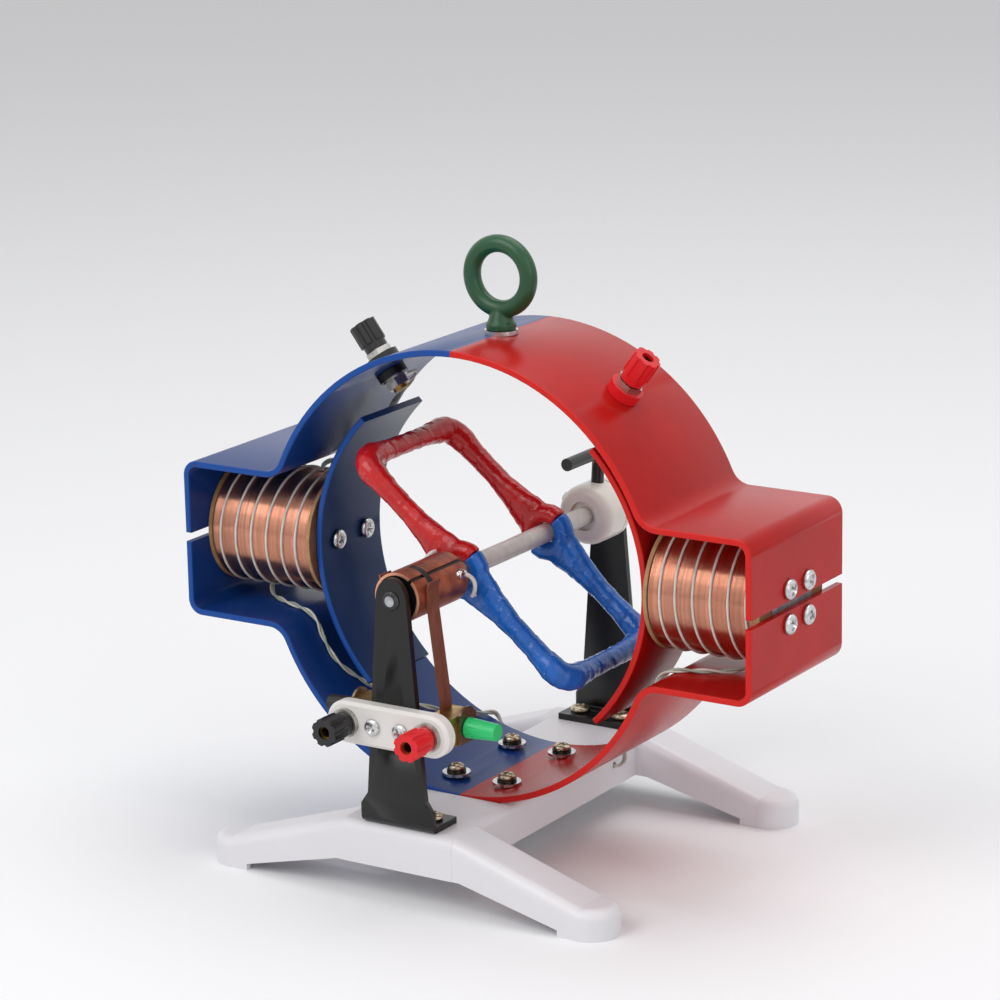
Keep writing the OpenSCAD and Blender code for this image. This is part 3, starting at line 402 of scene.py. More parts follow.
@dataclass(frozen=True)
class Fibreboard(Finish):
    """Pressed fibreboard: brown with pale fibres, and a lighter cut edge."""

    centre_y: float
    centre_z: float
    face: str = "#80583b"
    edge: str = "#a9835a"
    rim_r: float = 23.6

    def dress(self, surface: Surface) -> None:
        """Add the fibres and the cut edge."""
        _, y, z = surface.axes()
        flat = surface.put("ShaderNodeCombineXYZ", {0: 0.0, 1: y, 2: z})
        out = surface.add("ShaderNodeVectorMath", {0: flat, 1: (0.0, self.centre_y, self.centre_z)},
                          operation="DISTANCE").outputs["Value"]
        rim = surface.ramp(out, (self.rim_r - 0.2) * MM, (self.rim_r + 0.2) * MM)
        shade = surface.mottled(surface.blend(rim, self.face, self.edge), 2.5, 0.82, 1.15)
        surface.relief(surface.noise(1.2, 6.0, 0.7, 1.5), 0.1, 0.5)
        surface.feed(Base_Color=shade, Roughness=0.62)


@dataclass(frozen=True)
class TwistedThread(Finish):
    """Cotton cord: a helical twist of fine threads, read from the cord's own attributes."""

    colour: str = "#e6e1da"
    twist_mm: float = 1.6
    threads: int = 2

    def dress(self, surface: Surface) -> None:
        """Add the twist's colour and relief."""
        along, around = surface.noted("along"), surface.noted("around")
        turn = surface.maths("MULTIPLY_ADD", along, grain(self.twist_mm), around)
        ridge = surface.maths("SINE", surface.maths("MULTIPLY", turn, self.threads * 2 * math.pi))
        surface.relief(surface.ramp(ridge, -1.0, 1.0), 0.15, 0.6)
        surface.feed(Base_Color=surface.mottled(self.colour, 2, 0.86, 1.03), Roughness=0.7, Sheen_Weight=0.3)


@dataclass(frozen=True)
class WoundTape(Finish):
    """Glossy insulating tape: each lap's edge shows as a fine line, with pale streaks of painted highlight and
    wrinkles.
    """

    colour: str
    deep: str
    # pale is the colour of the painted highlight streaks on the glossy tape.
    pale: str

    def dress(self, surface: Surface) -> None:
        """Add the laps' edges, the painted highlight streaks and the wrinkles."""
        line = surface.ramp(surface.noted("lap"), 0.0, 0.07, 0.6, 0.0)
        edged = surface.blend(line, surface.mottled(self.colour, 9, 0.8, 1.12), self.deep)
        marks = surface.noise(3.2, 5.0, 0.6, 2.2)
        surface.relief(marks, 0.25, 0.5)
        # The pale streaks, from the same noise as the wrinkles, are a painted highlight.
        surface.feed(Base_Color=surface.blend(surface.ramp(marks, 0.62, 0.72, 0.0, 0.55), edged, self.pale),
                     Roughness=0.15, Specular_IOR_Level=0.4)


BLACK_MOULDING = Moulded("black_moulding", "#131315", roughness=0.32, grain_mm=0.6)
BRIGHT_NICKEL = Metal("bright_nickel", "#d6d6d6", "#a9a9ab", roughness=0.22, patch_mm=2)
BRIGHT_ZINC = Metal("bright_zinc", "#c9c8c4", "#97918a")


# ---- Meshes ----


@dataclass(frozen=True)
class Datum:
    """The motor's own places, measured from its solids, in metres."""

    yoke: Vector
    shaft_z: float

    @classmethod
    def measured(cls) -> "Datum":
        """Measure the yoke's centre from the two windings, and the shaft's height from the shaft."""
        corners = [corner for node in ("left_winding", "right_winding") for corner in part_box(node)]
        centre = sum(corners, Vector()) / len(corners)
        low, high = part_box("shaft")
        return cls(Vector((0, centre.y, centre.z)), (low.z + high.z) / 2)

    def at(self, point: Sequence[float]) -> Vector:
        """Turn a point in millimetres from the yoke's centre into the row's frame."""
        return self.yoke + Vector(point) * MM

    def on_loop(self, u: float, y: float, w: float, angle: float) -> Vector:
        """Place a point of the rotor's loop.

        Args:
            u: Millimetres out from the shaft, in the loop's plane.
            y: Millimetres along the shaft from the yoke's centre.
            w: Millimetres out of the loop's plane.
            angle: The half's angle above the red pole's side, in degrees.

        Returns:
            The point in the row's frame.
        """
        a = math.radians(angle)
        x, z = u * math.cos(a) - w * math.sin(a), u * math.sin(a) + w * math.cos(a)
        return Vector((x * MM, self.yoke.y + y * MM, self.shaft_z + z * MM))


def mesh_from(name: str, points: Sequence[Sequence[float]], faces: Sequence[Sequence[int]]) -> bpy.types.Mesh:
    """Make a mesh from points and faces."""
    mesh = bpy.data.meshes.new(name)
    mesh.from_pydata([tuple(p) for p in points], [], [tuple(f) for f in faces])
    mesh.update()
    return mesh


def polyline(name: str, points: Sequence[Vector]) -> bpy.types.Mesh:
    """Make a mesh of one open line through points."""
    mesh = bpy.data.meshes.new(name)
    mesh.from_pydata([tuple(p) for p in points], [(i, i + 1) for i in range(len(points) - 1)], [])
    return mesh


def shade(mesh: bpy.types.Mesh, degrees: float = 40) -> bpy.types.Mesh:
    """Shade a mesh smooth apart from edges sharper than an angle."""
    mesh.polygons.foreach_set("use_smooth", [True] * len(mesh.polygons))
    mesh.set_sharp_from_angle(angle=math.radians(degrees))
    return mesh


def circle(steps: int) -> list[float]:
    """Give the angles of even steps round a circle, in radians."""
    return [2 * math.pi * k / steps for k in range(steps)]


def loft(name: str, rings: Sequence[Sequence[Sequence[float]]], closed: bool = False) -> bpy.types.Mesh:
    """Join rings of points with faces.

    Args:
        name: The mesh's name.
        rings: The rings, with equally many points.
        closed: Join the last ring to the first one, instead of filling both ends.

    Returns:
        The mesh.
    """
    sides, count = len(rings[0]), len(rings)
    faces = []
    for i in range(count if closed else count - 1):
        one, two = i * sides, (i + 1) % count * sides
        faces += [[one + k, one + (k + 1) % sides, two + (k + 1) % sides, two + k] for k in range(sides)]
    if not closed:
        faces.append(list(range(sides - 1, -1, -1)))
        faces.append([(count - 1) * sides + k for k in range(sides)])
    return mesh_from(name, [point for ring in rings for point in ring], faces)


def mesh_of(shape: bmesh.types.BMesh, name: str) -> bpy.types.Mesh:
    """Turn a shape into a mesh and free the shape.

    Args:
        shape: The shape.
        name: The mesh's name.

    Returns:
        The mesh.
    """
    mesh = bpy.data.meshes.new(name)
    shape.to_mesh(mesh)
    shape.free()
    return mesh


def outward(mesh: bpy.types.Mesh) -> bpy.types.Mesh:
    """Turn a closed mesh's faces outwards.

    Args:
        mesh: The mesh, which is changed.

    Returns:
        The same mesh.
    """
    shape = bmesh.new()
    shape.from_mesh(mesh)
    bmesh.ops.recalc_face_normals(shape, faces=shape.faces)
    shape.to_mesh(mesh)
    shape.free()
    return mesh


def joined(name: str, meshes: Sequence[bpy.types.Mesh]) -> bpy.types.Mesh:
    """Join meshes into one.

    Args:
        name: The new mesh's name.
        meshes: The meshes, each of one material or of none.

    Returns:
        The joined mesh.
    """
    shape = bmesh.new()
    materials: list[bpy.types.Material] = []
    for mesh in meshes:
        materials += [material for material in mesh.materials if material not in materials]
        before = len(shape.faces)
        shape.from_mesh(mesh)
        shape.faces.ensure_lookup_table()
        for face in shape.faces[before:]:
            face.material_index = materials.index(mesh.materials[0]) if mesh.materials else 0
    whole = mesh_of(shape, name)
    for material in materials:
        whole.materials.append(material)
    return whole


def finished(source: bpy.types.Object) -> bpy.types.Mesh:
    """Apply an object's modifiers to a new mesh and remove the object."""
    bpy.context.view_layer.update()
    graph = bpy.context.evaluated_depsgraph_get()
    mesh = bpy.data.meshes.new_from_object(source.evaluated_get(graph), preserve_all_data_layers=True,
                                           depsgraph=graph)
    source.modifiers.clear()
    bpy.data.objects.remove(source)
    return mesh


def placed(name: str, data: bpy.types.ID) -> bpy.types.Object:
    """Put a mesh, a lamp or a camera in the scene.

    Args:
        name: The object's name.
        data: What it shows.

    Returns:
        The object.
    """
    obj = bpy.data.objects.new(name, data)
    bpy.context.scene.collection.objects.link(obj)
    return obj


def holder(mesh: bpy.types.Mesh) -> bpy.types.Object:
    """Put a mesh in the scene in a passing object, for modifiers."""
    return placed("passing", mesh)


def melted(mesh: bpy.types.Mesh, voxel: float, rounds: int) -> bpy.types.Mesh:
    """Melt a mesh's overlapping parts into one skin and smooth it.

    Args:
        mesh: The mesh.
        voxel: Fineness of the skin, in millimetres.
        rounds: Rounds of smoothing.

    Returns:
        The skin.
    """
    obj = holder(mesh)
    melt = obj.modifiers.new("melt", "REMESH")
    melt.mode, melt.voxel_size, melt.use_smooth_shade = "VOXEL", voxel * MM, True
    relax = obj.modifiers.new("relax", "SMOOTH")
    relax.iterations, relax.factor = rounds, 0.5
    return finished(obj)


def piece(name: str, mesh: bpy.types.Mesh, finish: Finish | None, body: Body,
          nodes: Sequence[str] = ()) -> bpy.types.Object:
    """Put a finished mesh in the scene as a piece of the motor.

    Args:
        name: The piece's name.
        mesh: Its mesh, in the row's frame.
        finish: Its finish, or None where the mesh already has its materials.
        body: The body that it rides on.
        nodes: The solids that it stands for.

    Returns:
        The piece.
    """
    obj = placed(name, mesh)
    mesh.name = name
    if finish:
        mesh.materials.clear()
        mesh.materials.append(finish.material())
    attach(obj, body.value)
    if nodes:
        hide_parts(*nodes)
    LOG.info("%s: %d faces on %s", name, len(mesh.polygons), body.value)
    return obj


def dress_nodes(finish: Finish, *nodes: str) -> None:
    """Give carried-over solids a finish."""
    for node in nodes:
        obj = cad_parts[node]
        if not obj.material_slots:
            obj.data.materials.append(finish.material())
        for slot in obj.material_slots:
            slot.material = finish.material()
        LOG.info("%s: %s", node, finish.name)


def merged_copy(node: str) -> bmesh.types.BMesh:
    """Copy a solid's mesh with its loose triangles joined."""
    shape = bmesh.new()
    shape.from_mesh(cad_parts[node].data)
    bmesh.ops.remove_doubles(shape, verts=shape.verts, dist=SAME_POINT)
    return shape


def islands(node: str) -> list[tuple[Vector, Vector]]:
    """Find the boxes of a node's separate solids.

    Args:
        node: The CAD node.

    Returns:
        Lowest and highest corner of each solid.
    """
    shape = merged_copy(node)
    waiting = set(shape.verts)
    boxes = []
    while waiting:
        group, edge = [], [waiting.pop()]
        while edge:
            vert = edge.pop()
            group.append(vert.co.copy())
            for link in vert.link_edges:
                other = link.other_vert(vert)
                if other in waiting:
                    waiting.remove(other)
                    edge.append(other)
        low = Vector([min(p[i] for p in group) for i in range(3)])
        high = Vector([max(p[i] for p in group) for i in range(3)])
        boxes.append((low, high))
    shape.free()
    return boxes


def smooth_path(points: Sequence[Vector], per_span: int = 8) -> list[Vector]:
    """Draw a centripetal curve through points.

    Args:
        points: The points that it passes through.
        per_span: Steps between two of them.

    Returns:
        The finer line of points.
    """
    ends = [points[0] * 2 - points[1], *points, points[-1] * 2 - points[-2]]
    line = []
    for i in range(1, len(ends) - 2):
        p = ends[i - 1:i + 3]
        t = [0.0]
        for j in range(3):
            t.append(t[-1] + max((p[j + 1] - p[j]).length, SAME_POINT) ** 0.5)
        for k in range(per_span):
            s = t[1] + (t[2] - t[1]) * k / per_span
            a = [p[j] * ((t[j + 1] - s) / (t[j + 1] - t[j])) + p[j + 1] * ((s - t[j]) / (t[j + 1] - t[j]))
                 for j in range(3)]
            b = [a[j] * ((t[j + 2] - s) / (t[j + 2] - t[j])) + a[j + 1] * ((s - t[j]) / (t[j + 2] - t[j]))
                 for j in range(2)]
            line.append(b[0] * ((t[2] - s) / (t[2] - t[1])) + b[1] * ((s - t[1]) / (t[2] - t[1])))
    return [*line, points[-1].copy()]


# ---- Geometry Nodes ----


class Recipe(Tree):
    """A Geometry Nodes tree with named inputs for its sizes."""

    def __init__(self, name: str, **inputs: str) -> None:
        """Start the tree.

        Args:
            name: The tree's name.
            **inputs: Kind of each input between the geometry and the material, with underscores for spaces.
        """
        super().__init__(bpy.data.node_groups.new(name, "GeometryNodeTree"))
        for label, kind in {"Geometry": "Geometry", **inputs, "Material": "Material"}.items():
            self.tree.interface.new_socket(name=label.replace("_", " "), in_out="INPUT",
                                           socket_type=f"NodeSocket{kind}")
        self.tree.interface.new_socket(name="Geometry", in_out="OUTPUT", socket_type="NodeSocketGeometry")
        self.given = self.add("NodeGroupInput").outputs

    def ring(self, sides: object, radius: Socket) -> Socket:
        """Draw a circle."""
        return self.put("GeometryNodeCurvePrimitiveCircle", {"Resolution": sides, "Radius": radius})

    def note(self, geometry: Socket, name: str, value: Socket) -> Socket:
        """Store a value on the points, under a name."""
        values = {"Geometry": geometry, "Name": name, "Value": value}
        return self.put("GeometryNodeStoreNamedAttribute", values, data_type="FLOAT", domain="POINT")

    def swept(self, line: Socket, ring: Socket) -> Socket:
        """Sweep a ring along a line as a smooth tube with closed ends."""
        tube = self.put("GeometryNodeCurveToMesh", {"Curve": line, "Profile Curve": ring, "Fill Caps": True})
        return self.put("GeometryNodeSetShadeSmooth", {"Geometry": tube})

    def end(self, geometry: Socket) -> None:
        """Realise the geometry, give it its material and close the tree."""
        real = self.put("GeometryNodeRealizeInstances", {"Geometry": geometry})
        last = self.put("GeometryNodeSetMaterial", {"Geometry": real, "Material": self.given["Material"]})
        self.add("NodeGroupOutput", {"Geometry": last})

    def grow(self, mesh: bpy.types.Mesh, **values: object) -> bpy.types.Mesh:
        """Run the tree on a mesh.

        Args:
            mesh: What the tree starts from.
            **values: The inputs' values, with underscores for spaces.

        Returns:
            The result as a plain mesh.
        """
        obj = holder(mesh)
        modifier = obj.modifiers.new(self.tree.name, "NODES")
        modifier.node_group = self.tree
        sockets = {item.name: item.identifier for item in self.tree.interface.items_tree
                   if item.item_type == "SOCKET" and item.in_out == "INPUT"}
        for label, value in values.items():
            modifier[sockets[label.replace("_", " ")]] = value
        return finished(obj)


@lru_cache(maxsize=None)
def wound_wire() -> Recipe:
    """Give the recipe for a wire wound in one layer on a drum."""
    recipe = Recipe("wound_wire", Turns="Float", Length="Float", Radius="Float", Wire_radius="Float",
                    Points_per_turn="Int", Place="Vector", Turn="Vector")
    given = recipe.given
    line = recipe.put("GeometryNodeCurveSpiral", {
        "Resolution": given["Points per turn"], "Rotations": given["Turns"], "Start Radius": given["Radius"],
        "End Radius": given["Radius"], "Height": given["Length"]})
    wire = recipe.swept(line, recipe.ring(6, given["Wire radius"]))
    recipe.end(recipe.put("GeometryNodeTransform", {"Geometry": wire, "Translation": given["Place"],
                                                    "Rotation": given["Turn"]}))
    return recipe


@lru_cache(maxsize=None)
def strand() -> Recipe:
    """Give the recipe for a round strand that follows a line, straight or winding round it."""
    recipe = Recipe("strand", Radius="Float", Offset="Float", Pitch="Float", Phase="Float", Step="Float",
                    Sides="Int")
    given = recipe.given
    curve = recipe.put("GeometryNodeMeshToCurve", {"Mesh": given["Geometry"]})
    fine = recipe.put("GeometryNodeResampleCurve", {"Curve": curve, "Length": given["Step"]}, mode="LENGTH")
    run = recipe.add("GeometryNodeSplineParameter").outputs
    turns = recipe.maths("DIVIDE", run["Length"], given["Pitch"])
    tilt = recipe.maths("MULTIPLY_ADD", turns, 2 * math.pi, given["Phase"])
    wound = recipe.put("GeometryNodeSetCurveTilt", {"Curve": recipe.note(fine, "along", run["Length"]),
                                                    "Tilt": tilt})
    ring = recipe.note(recipe.ring(given["Sides"], given["Radius"]), "around", run["Factor"])
    shift = recipe.put("ShaderNodeCombineXYZ", {0: given["Offset"]})
    moved = recipe.put("GeometryNodeTransform", {"Geometry": ring, "Translation": shift})
    recipe.end(recipe.swept(wound, moved))
    return recipe


def laid(line: Sequence[Vector], width: float, finish: Finish, step: float = 0.9, sides: int = 8,
         offset: float = 0.0, pitch: float = 1000.0, phase: float = 0.0) -> bpy.types.Mesh:
    """Lay a round strand along a line.

    Args:
        line: The line's points.
        width: Diameter of the strand.
        finish: Its finish.
        step: Length between two of its rings.
        sides: Sides of a ring.
        offset: How far from the line it winds round it.
        pitch: Length of one turn round the line.
        phase: Angle at which it starts, in radians.

    Returns:
        The strand.
    """
    return strand().grow(polyline("line", line), Radius=width / 2 * MM, Offset=offset * MM, Pitch=pitch * MM,
                         Phase=phase, Step=step * MM, Sides=sides, Material=finish.material())


@lru_cache(maxsize=None)
def fasteners() -> Recipe:
    """Give the recipe that sets one fastener on each point, facing its aim and turned at random."""
    recipe = Recipe("fasteners", Form="Object", Seed="Int")
    given = recipe.given
    form = recipe.add("GeometryNodeObjectInfo", {"Object": given["Form"]}).outputs["Geometry"]
    aim = recipe.put("GeometryNodeInputNamedAttribute", {"Name": "aim"}, data_type="FLOAT_VECTOR")
    facing = recipe.put("FunctionNodeAlignRotationToVector", {"Vector": aim}, axis="Z")
    chance = recipe.add("FunctionNodeRandomValue", {"Min": 0.0, "Max": 2 * math.pi, "Seed": given["Seed"]},
                        data_type="FLOAT").outputs[1]
    turn = recipe.put("FunctionNodeEulerToRotation", {0: recipe.put("ShaderNodeCombineXYZ", {2: chance})})
    pose = recipe.put("FunctionNodeRotateRotation", {"Rotation": facing, "Rotate By": turn},
                      rotation_space="LOCAL")
    recipe.end(recipe.put("GeometryNodeInstanceOnPoints", {"Points": given["Geometry"], "Instance": form,
                                                           "Rotation": pose}))
    return recipe


# ---- The motor's sub-assemblies ----


@dataclass
class Stand:
    """The white moulded base."""

    def build(self) -> None:
        """Dress the base and the nuts beneath it."""
        dress_nodes(Moulded("moulded_white_abs", "#e4e2e6", roughness=0.36, grain_mm=0.9, depth=0.04,
                            patches=0.025, patch_mm=45), "base")
        dress_nodes(BRIGHT_ZINC, "base_nuts", "eye_nut")


@dataclass
class Yoke:
    """The two bent strips of painted steel and the pole shoes.

    Attributes:
        datum: The motor's places.
        strip_half: Half of the strip's width.
        shoe_half: Half of a shoe's width.
        rim: Rounding that the paint gives the cut edges.
        flat_degrees: Angle under which faces are joined into one.
        edge_radians: Angle over which an edge is a cut one.
    """

    datum: Datum
    strip_half: float = 35.0
    shoe_half: float = 20.0
    rim: float = 0.5
    flat_degrees: float = 0.4
    edge_radians: float = 1.2

    def build(self) -> None:
        """Round the plates' cut edges and paint them."""
        # The two edge colours are a painted highlight along the plates' cut edges.
        edges = ("#1c4b98", "#cf2420", self.datum.yoke.y)
        paint = StovePaint("stoved_two_tone_paint", "#153878", "#b01512", *edges, self.strip_half)
        for node in ("upper_yoke", "lower_yoke"):
            piece(f"{node}_strip", self.rounded(node), paint, Body.FRAME, [node])
        shoe_paint = StovePaint("stoved_shoe_paint", "#12305f", "#a91512", *edges, self.shoe_half)
        for node, slot in (("left_pole_shoe", "blue_paint"), ("right_pole_shoe", "red_paint")):
            piece(f"{node}_plate", self.rounded(node), shoe_paint, Body.FRAME, [node])

    def rounded(self, node: str) -> bpy.types.Mesh:
        """Round a plate's cut edges on the planes that end it.

        Args:
            node: The plate's node.

        Returns:
            The plate's mesh with its rims rounded.
        """
        shape = merged_copy(node)
        bmesh.ops.dissolve_limit(shape, angle_limit=math.radians(self.flat_degrees), verts=shape.verts,
                                 edges=shape.edges)
        ends = [corner.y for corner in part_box(node)]
        rims = [edge for edge in shape.edges
                if len(edge.link_faces) == 2 and edge.calc_face_angle(0) > self.edge_radians
                and any(all(abs(v.co.y - end) < SAME_POINT for v in edge.verts) for end in ends)]
        bmesh.ops.bevel(shape, geom=rims, offset=self.rim * MM, offset_type="OFFSET", segments=3, profile=0.5,
                        affect="EDGES", clamp_overlap=True)
        return shade(mesh_of(shape, node), 35)


@dataclass
class FieldCoil:
    """One field pole's winding with its binding cord.

    Attributes:
        datum: The motor's places.
        side: -1 for the blue pole, 1 for the red pole.
        wire_d: Diameter of the wire, as coarse as a picture can show.
        cord_d: Diameter of the binding cord.
        first_step: Distance between the cord's first two turns.
        turns: The cord's turns.
    """

    datum: Datum
    side: int
    wire_d: float = 0.4
    cord_d: float = 0.9
    first_step: float = 4.0
    turns: int = 6

    @property
    def name(self) -> str:
        """Give the coil's side as a word."""
        return "left" if self.side < 0 else "right"

    def reach(self) -> tuple[float, float, float]:
        """Give the winding's inner end, outer end and radius, in millimetres."""
        low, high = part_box(f"{self.name}_winding")
        ends = sorted((abs(low.x), abs(high.x)))
        return ends[0] / MM, ends[1] / MM, (high.z - low.z) / 2 / MM

    def build(self) -> None:
        """Wind the wire and the cord, and dress the spool and the core."""
        self.wind()
        self.bind()
        board = Fibreboard("pressed_fibreboard", self.datum.yoke.y, self.datum.yoke.z)
        dress_nodes(board, f"{self.name}_spool")
        dress_nodes(Metal("soft_iron", "#8f8f92", "#6a6a70", roughness=0.42), f"{self.name}_core")

    def wind(self) -> None:
        """Wind the wire on its drum."""
        inner, outer, radius = self.reach()
        wire = self.wire_d
        length = outer - inner - wire
        enamel = EnamelledWire("enamelled_copper_wire")
        start = self.datum.at((self.side * (inner + wire / 2), 0, 0))
        turns = wound_wire().grow(
            mesh_from("start", [], []), Turns=length / wire, Length=length * MM,
            Radius=(radius - wire / 2) * MM, Wire_radius=wire / 2 * MM, Points_per_turn=64, Place=tuple(start),
            Turn=(0.0, self.side * math.pi / 2, 0.0), Material=enamel.material())
        piece(f"{self.name}_winding_turns", turns, None, Body.FRAME,
              [f"{self.name}_winding"])
        drum_r, bore = radius - wire * 0.75, radius * 0.7
        profile = [(bore, inner), (drum_r, inner), (drum_r, outer), (bore, outer)]
        rings = [[self.datum.at((self.side * x, r * math.cos(a), r * math.sin(a))) for r, x in profile]
                 for a in circle(96)]
        drum = outward(shade(loft("drum", rings, closed=True)))
        piece(f"{self.name}_winding_drum", drum, enamel, Body.FRAME)

    def bind(self) -> None:
        """Bind the winding with one cord: two close turns at the pole shoe, then even ones."""
        inner, outer, radius = self.reach()
        line_r = radius + self.cord_d / 2
        step = (outer - inner - self.first_step - 5 * self.cord_d) / (self.turns - 1)
        steps = 60

        def lay(x: float, turn: float) -> Vector:
            """Give the cord's place at a distance out and after some turns."""
            a = 2 * math.pi * turn
            return self.datum.at((self.side * x, line_r * math.sin(a), -line_r * math.cos(a)))

        points = []
        for i in range(self.turns * steps + 1):
            turn = i / steps
            along = self.first_step * min(turn, 1) + step * max(turn - 1, 0)
            points.append(lay(inner + 2.5 * self.cord_d + along, turn))
        ends = [lay(inner + 0.7 * self.cord_d, -0.03), lay(inner + 1.6 * self.cord_d, -0.02)]
        tail = [lay(outer - 1.6 * self.cord_d, 0.02), lay(outer - 0.7 * self.cord_d, 0.03)]
        line = smooth_path([*ends, *points, *tail], 2)
        cord = laid(line, self.cord_d, TwistedThread("cotton_cord"), sides=10)
        piece(f"{self.name}_cotton_binding", cord, None, Body.FRAME,
              [f"{self.name}_binding_cord"])


@dataclass
class FieldLeads:
    """The twisted leads of the field: one along the yoke between the coils, and one to each binding post.

    Attributes:
        datum: The motor's places.
        strand_d: Diameter of one of the two strands.
        pitch: Length of one twist.
        link: Half of the lead between the coils, from the right coil to the slot in the base.
        post: The lead from the red post to the right coil.
    """

    datum: Datum
    strand_d: float = 1.0
    pitch: float = 19.0
    link: tuple[Point, ...] = (
        (106, -4, -23.5), (106, -4.6, -25.5), (103, -7.5, -27), (94, -13, -27.1), (86, -16, -27.2),
        (79.7, -17, -28.4), (75.6, -17, -32.2), (73.5, -17, -37.3), (68, -16, -46.5), (61, -9, -55.4),
        (53, 0, -63.1), (44, 12, -69.7), (36, 24, -74.1), (33, 30, -75.4), (31, 35, -76.2), (30, 37.5, -77.2),
        (28.5, 38.6, -80.5), (27.5, 40, -84.5), (26.5, 41, -88.5), (24, 41, -91), (15, 41, -91))
    link_middle: Point = (0, 41, -91)
    post: tuple[Point, ...] = (
        (48, 12.2, 63.8), (48, 14.5, 63.8), (50.5, 16, 60.8), (55.5, 16.4, 55.5), (64, 16, 45),
        (70, 14, 35.5), (75.3, 10, 30), (79, 6, 27.2), (81.8, 2.6, 26.9), (83, 0.4, 25.6), (83, 0, 23.5))

    def build(self) -> None:
        """Twist the pairs along their routes."""
        mirrored = [(-x, y, z) for x, y, z in reversed(self.link)]
        routes = [[*self.link, self.link_middle, *mirrored], self.post, [(-x, y, z) for x, y, z in self.post]]
        grey = Moulded("grey_white_insulation", "#d8d4cb", roughness=0.42, patch_mm=4, patches=0.12)
        green = Moulded("green_grey_insulation", "#a9b3a4", roughness=0.42, patch_mm=4, patches=0.15)
        strands = []
        for route in routes:
            line = smooth_path([self.datum.at(p) for p in route], 6)
            for phase, finish in ((0.0, grey), (math.pi, green)):
                strands.append(laid(line, self.strand_d, finish, offset=self.strand_d / 2, pitch=self.pitch,
                                    phase=phase))
        piece("twisted_field_leads", joined("leads", strands), None, Body.FRAME,
              ["field_leads"])


